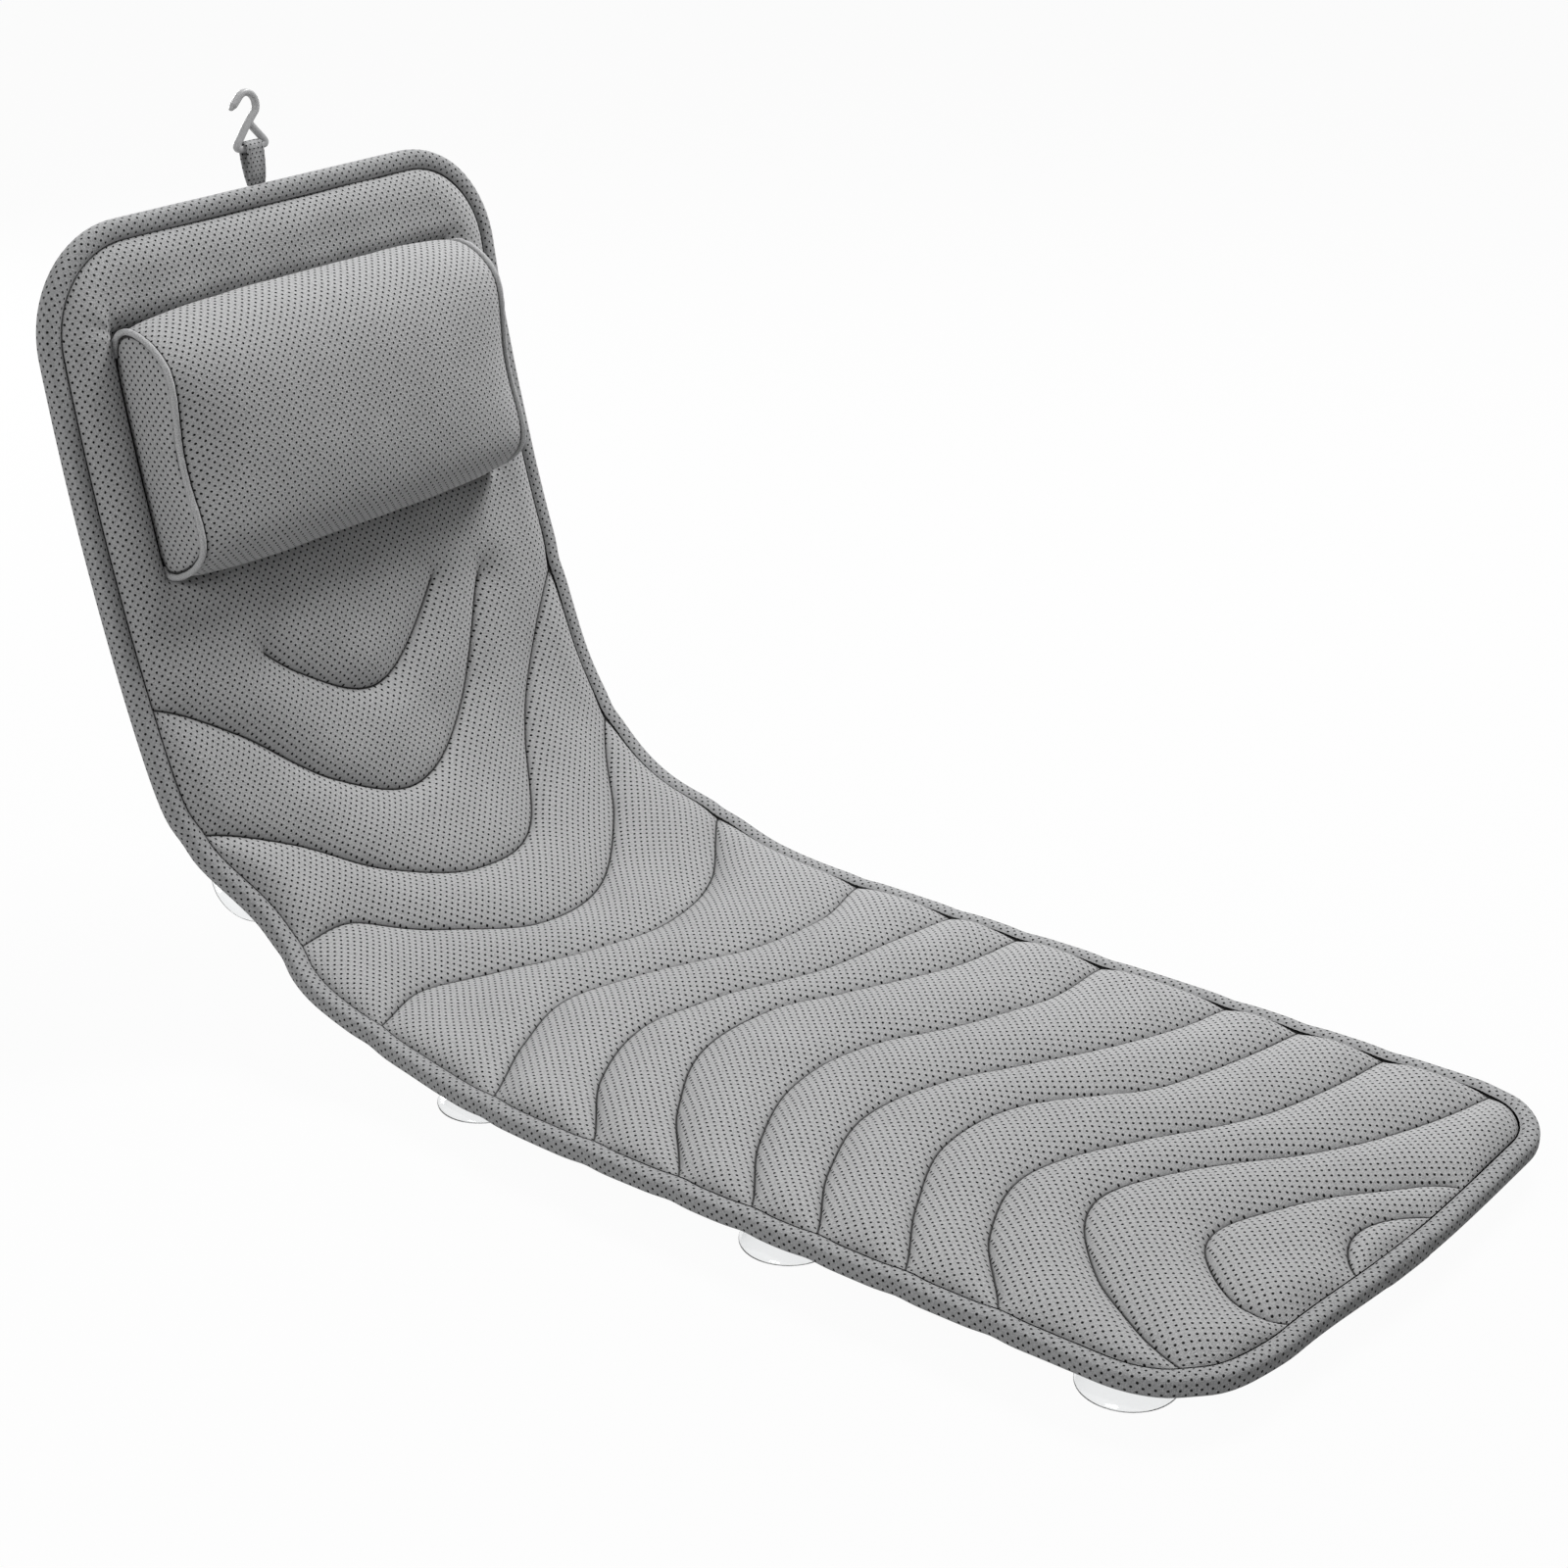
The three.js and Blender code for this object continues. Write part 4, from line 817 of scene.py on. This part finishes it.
for side, sign in (("left", -1), ("right", 1)):
    curve = GUSSET_MIDDLE + share[:, None, None] * (rim - GUSSET_MIDDLE)
    curve[..., 1] = np.maximum(curve[..., 1], GUSSET_LOW)
    panel_x = np.broadcast_to((sign * (PILLOW_HALF + dome))[:, None], curve.shape[:2])
    panel = bent(panel_x, PILLOW_FOOT + curve[..., 0], PILLOW_N + curve[..., 1])
    faces, places = grid_faces(*panel.shape[:2], close_columns=True)
    cloth = curve[places[..., 0], places[..., 1] % curve.shape[1]]
    hem = np.maximum(np.linalg.norm(curve - rim, axis=-1) - GUSSET_HEM, 0)
    mesh = close_shell(cloth_mesh(f"pillow_gusset_{side}", panel, faces, cloth, seam=hem))
    mesh.materials.append(gusset_cloth)
    gusset = add_piece(mesh.name, mesh)
    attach(gusset, "backrest")
    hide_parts(f"pillow_end_{side}")

    line = drawn_in(gusset_front, PIPING_INSET)
    line[:, 1] = np.maximum(line[:, 1], GUSSET_LOW)
    out = drawn_in(gusset_front, -1.0) - gusset_front
    wobble = 1 + 0.05 * np.sin(np.arange(len(line)) * 1.7)[:, None]
    ring = line[:, None] + PIPING_RADIUS * wobble[..., None] * np.cos(around)[None, :, None] * out[:, None]
    cord_x = sign * (PILLOW_HALF + PIPING_RADIUS) + PIPING_RADIUS * np.sin(around) * wobble
    cord = bent(cord_x, PILLOW_FOOT + ring[..., 0], PILLOW_N + ring[..., 1])
    faces, places = grid_faces(*cord.shape[:2], close_columns=True)
    cloth = np.stack([places[..., 1] * 0.0013, places[..., 0] * 0.0028], -1)
    mesh = close_shell(cloth_mesh(f"pillow_corded_edge_{side}", cord, faces, cloth))
    mesh.materials.append(piping_cloth)
    piping = add_piece(mesh.name, mesh)
    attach(piping, "backrest")
    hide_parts(f"pillow_piping_{side}")


# Hanging loop
# A strip of the pierced mesh folded over the hook's bar. Both ends are rolled under and stitched to a small
# tab behind the binding, at the middle of the head edge.
TAPE_WIDTH, TAPE_THICK, LOOP_RISE = 0.0145, 0.0013, 0.023
FOLD_RADIUS, ROOT_RADIUS = 0.00385, 0.0009
TAB_LENGTH, TAB_N, TAB_STITCH = 0.016, -0.0078, 0.0022
TAB_MIDDLE = MAT_LENGTH - 0.0014 - TAB_LENGTH / 2
TAPE_GREY = (0.40, 0.402, 0.406, 1)
head_slope = float(middle_line(np.array(MAT_LENGTH))[2])
up = np.array([0, math.cos(head_slope), math.sin(head_slope)])
forward = np.array([0, -math.sin(head_slope), math.cos(head_slope)])
loop_root = bent(0, MAT_LENGTH, TAB_N)
hook_bar = loop_root + LOOP_RISE * up

a = np.radians(np.linspace(-14, 194, 34))
fold = np.stack([FOLD_RADIUS * np.cos(a), LOOP_RISE + FOLD_RADIUS * np.sin(a)], -1)
a = np.radians(np.linspace(-78, 0, 6)[:-1])
root = ROOT_RADIUS * np.stack([np.cos(a), np.sin(a)], -1)
t = np.linspace(0, 1, 16)[:-1]
bulge = ROOT_RADIUS + (fold[0, 0] - ROOT_RADIUS) * (t * (2 - t)) ** 0.9
strand_front = np.concatenate([root, np.stack([bulge, fold[0, 1] * t], -1)])
strand_back = (strand_front * (-1, 1))[::-1]
line = np.concatenate([strand_front, fold, strand_back])
way = np.gradient(line, axis=0)
side_way = np.stack([way[:, 1], -way[:, 0]], -1) / np.linalg.norm(way, axis=1, keepdims=True)
v = np.linspace(-1, 1, 15)
pressed = 0.5 + 0.5 * ramp(line[:, 1], 0.0005, 0.0050)
thick = TAPE_THICK / 2 * (1 - 0.45 * np.abs(v) ** 8)[:, None, None] * pressed[None, :, None]
outer, inner = line + thick * side_way, line - thick * side_way
loop_ring = np.concatenate([outer, inner[:, ::-1]], axis=1)
tape_x = TAPE_WIDTH / 2 * v
tape = loop_root + tape_x[:, None, None] * ACROSS + loop_ring[..., :1] * forward + loop_ring[..., 1:] * up
faces, places = grid_faces(*tape.shape[:2], close_columns=True)
tape_run = np.append(0, np.cumsum(np.linalg.norm(np.diff(line, axis=0), axis=1)))
tape_run = np.concatenate([tape_run, tape_run[::-1], tape_run[:1]])
cloth = np.stack([tape_x[places[..., 0]], tape_run[places[..., 1]]], -1)
hem = np.broadcast_to((TAPE_WIDTH / 2 - np.abs(tape_x) - 0.0017)[:, None], tape.shape[:2])
tape_cloth = mesh_cloth("tape_mesh", TAPE_GREY, 0.0036, 0.0028, 0.0006, seam_shade_width=0.0006)
mesh = close_shell(cloth_mesh("hanging_tape", tape, faces, cloth, seam=np.abs(hem)))
mesh.materials.append(tape_cloth)
loop = add_piece(mesh.name, mesh)
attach(loop, "loop")
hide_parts("hanging_loop")

crowded = np.sin(v * np.pi / 2)
tab_x, tab_s = np.meshgrid(TAPE_WIDTH / 2 * crowded, TAB_MIDDLE + TAB_LENGTH / 2 * crowded)
edge = np.minimum(TAPE_WIDTH / 2 - np.abs(tab_x), TAB_LENGTH / 2 - np.abs(tab_s - TAB_MIDDLE))
stitch = np.abs(edge - TAB_STITCH)
puffed = 0.001 * puff(edge, 0.0012) * (1 - 0.5 * np.exp(-((stitch / 0.0008) ** 2)))
tab_flat = slab("tab_flat", tab_x, tab_s, TAB_N + puffed * 0.9, TAB_N - puffed, stitch)
tab = cut_and_bend(tab_flat, "stitched_tab", None, None, tape_cloth)
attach(tab, "backrest")
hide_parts("loop_tab")


# Hook
# Grey plastic, moulded in one: an open hook above a triangular eye. The left side of the eye runs on into
# the hook's stem, and the tape lies over the bar at its foot.
HOOK_STRAND, HOOK_DEPTH, HOOK_SIDES, HOOK_POWER = 0.0047, 0.0050, 20, 0.7
HOOK_GREY = (0.40, 0.402, 0.406)
BOW, BOW_RADIUS, TIP_LENGTH, TIP_TAPER = np.array([0.00096, 0.02674]), 0.008, 0.0115, 0.55
STEM = np.array([
    [12.2, 0.6], [9, 0], [4, 0], [-4, 0], [-9.2, 0], [-11.6, 0.9], [-11.4, 3.2], [-7.2, 8.0],
    [-2.2, 13.4], [2.6, 17.9], [6.0, 20.9],
]) / 1000
BRANCH = np.array([[10.2, 0.1], [12.0, 0.9], [11.8, 3.0], [7.6, 8.0], [3.2, 13.0], [0.6, 16.4]]) / 1000
bow_a = np.radians(np.linspace(-32, 130, 9))
bow = BOW + BOW_RADIUS * np.stack([np.cos(bow_a), np.sin(bow_a)], -1)
tip_way = np.array([-math.sin(bow_a[-1]), math.cos(bow_a[-1])])
tip = bow[-1] + TIP_LENGTH * np.array([[0.35], [0.7], [1.0]]) * tip_way


def moulded_strand(points, count, tip_taper):
    """Rounded bar carried along a smooth line: a superellipse section, drawn in towards the tip."""
    line, at = even_curve(points, count)
    way = np.gradient(line, axis=0)
    square = np.stack([way[:, 1], -way[:, 0]], -1) / np.linalg.norm(way, axis=1, keepdims=True)
    a = np.arange(HOOK_SIDES) * 2 * np.pi / HOOK_SIDES
    wide = np.sign(np.cos(a)) * np.abs(np.cos(a)) ** HOOK_POWER
    deep = np.sign(np.sin(a)) * np.abs(np.sin(a)) ** HOOK_POWER
    taper = 1 - tip_taper * (1 - ramp(at[-1] - at, 0, 0.0045))
    flat = line[:, None] + HOOK_STRAND / 2 * (taper[:, None] * wide)[..., None] * square[:, None]
    depth = HOOK_DEPTH / 2 * (0.5 + 0.5 * taper)[:, None] * deep
    points = hook_bar + flat[..., :1] * ACROSS + flat[..., 1:] * up + depth[..., None] * forward
    return points, grid_faces(*points.shape[:2], close_columns=True)[0]


strand_points, strand_faces = moulded_strand(np.concatenate([STEM, bow, tip]), 150, TIP_TAPER)
branch_points, branch_faces = moulded_strand(BRANCH, 46, 0.0)
points = np.concatenate([strand_points.reshape(-1, 3), branch_points.reshape(-1, 3)])
faces = np.concatenate([strand_faces, branch_faces + strand_points.shape[0] * HOOK_SIDES])
mesh = close_shell(cloth_mesh("moulded_hook", points, faces, np.zeros((len(faces), 4, 2))))
hook = add_piece(mesh.name, mesh)
fuse = hook.modifiers.new("fuse", "REMESH")
fuse.mode = "VOXEL"
fuse.voxel_size = 0.00042
ease = hook.modifiers.new("ease", "SMOOTH")
ease.factor, ease.iterations = 0.5, 6
bpy.context.view_layer.update()
hook.data = bpy.data.meshes.new_from_object(hook.evaluated_get(bpy.context.evaluated_depsgraph_get()))
hook.modifiers.clear()
hook.data.shade_smooth()
hook_plastic, tree, shader = new_material("hook_plastic")
place = node(tree, "TexCoord").outputs["Object"]
mottle = node(tree, "TexNoise", inputs={"Vector": place, "Scale": 900.0, "Detail": 3.0})
grain = node(tree, "TexNoise", inputs={"Vector": place, "Scale": 4200.0, "Detail": 2.0})
tone = maths(tree, "MULTIPLY_ADD", maths(tree, "SUBTRACT", mottle.outputs["Fac"], 0.5), 0.16, 1.0)
tree.links.new(scaled_colour(tree, HOOK_GREY, tone), shader.inputs["Base Color"])
rough = maths(tree, "MULTIPLY_ADD", mottle.outputs["Fac"], 0.18, 0.30)
tree.links.new(rough, shader.inputs["Roughness"])
pits = node(tree, "Bump", inputs={"Strength": 0.10, "Distance": 0.0002, "Height": grain.outputs["Fac"]})
tree.links.new(pits.outputs[0], shader.inputs["Normal"])
hook.data.materials.clear()
hook.data.materials.append(hook_plastic)
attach(hook, "hook")
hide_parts("hook")


# Studio
# A white floor and soft light from large lamps, with the camera where the photograph was taken from. The
# floor and the surroundings are white where they are seen, and dim where they light the mat.
FLOOR_HALF = 30
CAMERA_AIM, CAMERA_DISTANCE = np.array([0, -0.00044, 0.19391]), 1.79724
CAMERA_TURN, CAMERA_RISE, CAMERA_LENS, SENSOR = math.radians(-52.579), math.radians(24.009), 67.33, 36
FLOOR_GLOW, AIR_LIGHT = 0.96, 0.07
WHITE = (1, 1, 1, 1)
corners = [(x * FLOOR_HALF, y * FLOOR_HALF, 0) for x, y in ((-1, -1), (1, -1), (1, 1), (-1, 1))]
floor_mesh = bpy.data.meshes.new("floor")
floor_mesh.from_pydata(corners, [], [(0, 1, 2, 3)])
floor = add_piece("floor", floor_mesh)


def seen_directly(tree):
    """1 on rays from the camera, also by way of gloss or clear plastic, and 0 on rays that light the mat."""
    path = node(tree, "LightPath").outputs
    seen = maths(tree, "MAXIMUM", path["Is Camera Ray"], path["Is Glossy Ray"])
    return maths(tree, "MAXIMUM", seen, path["Is Transmission Ray"])


floor_white, tree, shader = new_material("floor_white")
shader.inputs["Base Color"].default_value = (0.5, 0.5, 0.5, 1)
shader.inputs["Roughness"].default_value = 0.9
glow = node(tree, "Emission", inputs={"Color": WHITE, "Strength": 1.0})
share = maths(tree, "MULTIPLY", seen_directly(tree), FLOOR_GLOW)
mixed = node(tree, "MixShader", inputs={0: share, 1: shader.outputs[0], 2: glow.outputs[0]})
tree.links.new(mixed.outputs[0], tree.nodes["Material Output"].inputs["Surface"])
floor_mesh.materials.append(floor_white)

camera_data = bpy.data.cameras.new("camera")
camera = add_piece("camera", camera_data)
camera_data.sensor_fit = "HORIZONTAL"
camera_data.sensor_width = SENSOR
camera_data.lens = CAMERA_LENS
level = math.cos(CAMERA_RISE)
back = np.array([math.sin(CAMERA_TURN) * level, -math.cos(CAMERA_TURN) * level, math.sin(CAMERA_RISE)])
camera.location = CAMERA_AIM + CAMERA_DISTANCE * back
camera.rotation_euler = (math.pi / 2 - CAMERA_RISE, 0, CAMERA_TURN)
bpy.context.scene.camera = camera

world = bpy.data.worlds.new("studio")
bpy.context.scene.world = world
world.use_nodes = True
tree = world.node_tree
light = tree.nodes["Background"]
light.inputs["Color"].default_value = WHITE
light.inputs["Strength"].default_value = AIR_LIGHT
white = node(tree, "Background", inputs={"Color": WHITE, "Strength": 1.0})
mixed = node(tree, "MixShader", inputs={0: seen_directly(tree), 1: light.outputs[0], 2: white.outputs[0]})
tree.links.new(mixed.outputs[0], tree.nodes["World Output"].inputs["Surface"])
for name, place, aim, size, power in (
    ("key", (1.5, -0.02, 2.05), (0, 0.3, 0.3), 0.9, 61),
    ("back", (-0.3, 1.1, 2.2), (0, 0.2, 0.2), 0.9, 6),
    ("left", (-1.9, -0.2, 1.5), (0, 0.2, 0.25), 0.9, 20),
    ("rear", (0.5, 2.3, 0.8), (0, 0.4, 0.3), 0.9, 26),
):
    lamp_data = bpy.data.lights.new(name, "AREA")
    lamp_data.size = size
    lamp_data.energy = power
    lamp = add_piece(name, lamp_data)
    lamp.location = place
    lamp.rotation_euler = Vector(np.array(aim) - place).to_track_quat("-Z", "Y").to_euler()

bpy.context.scene.view_settings.view_transform = "Standard"
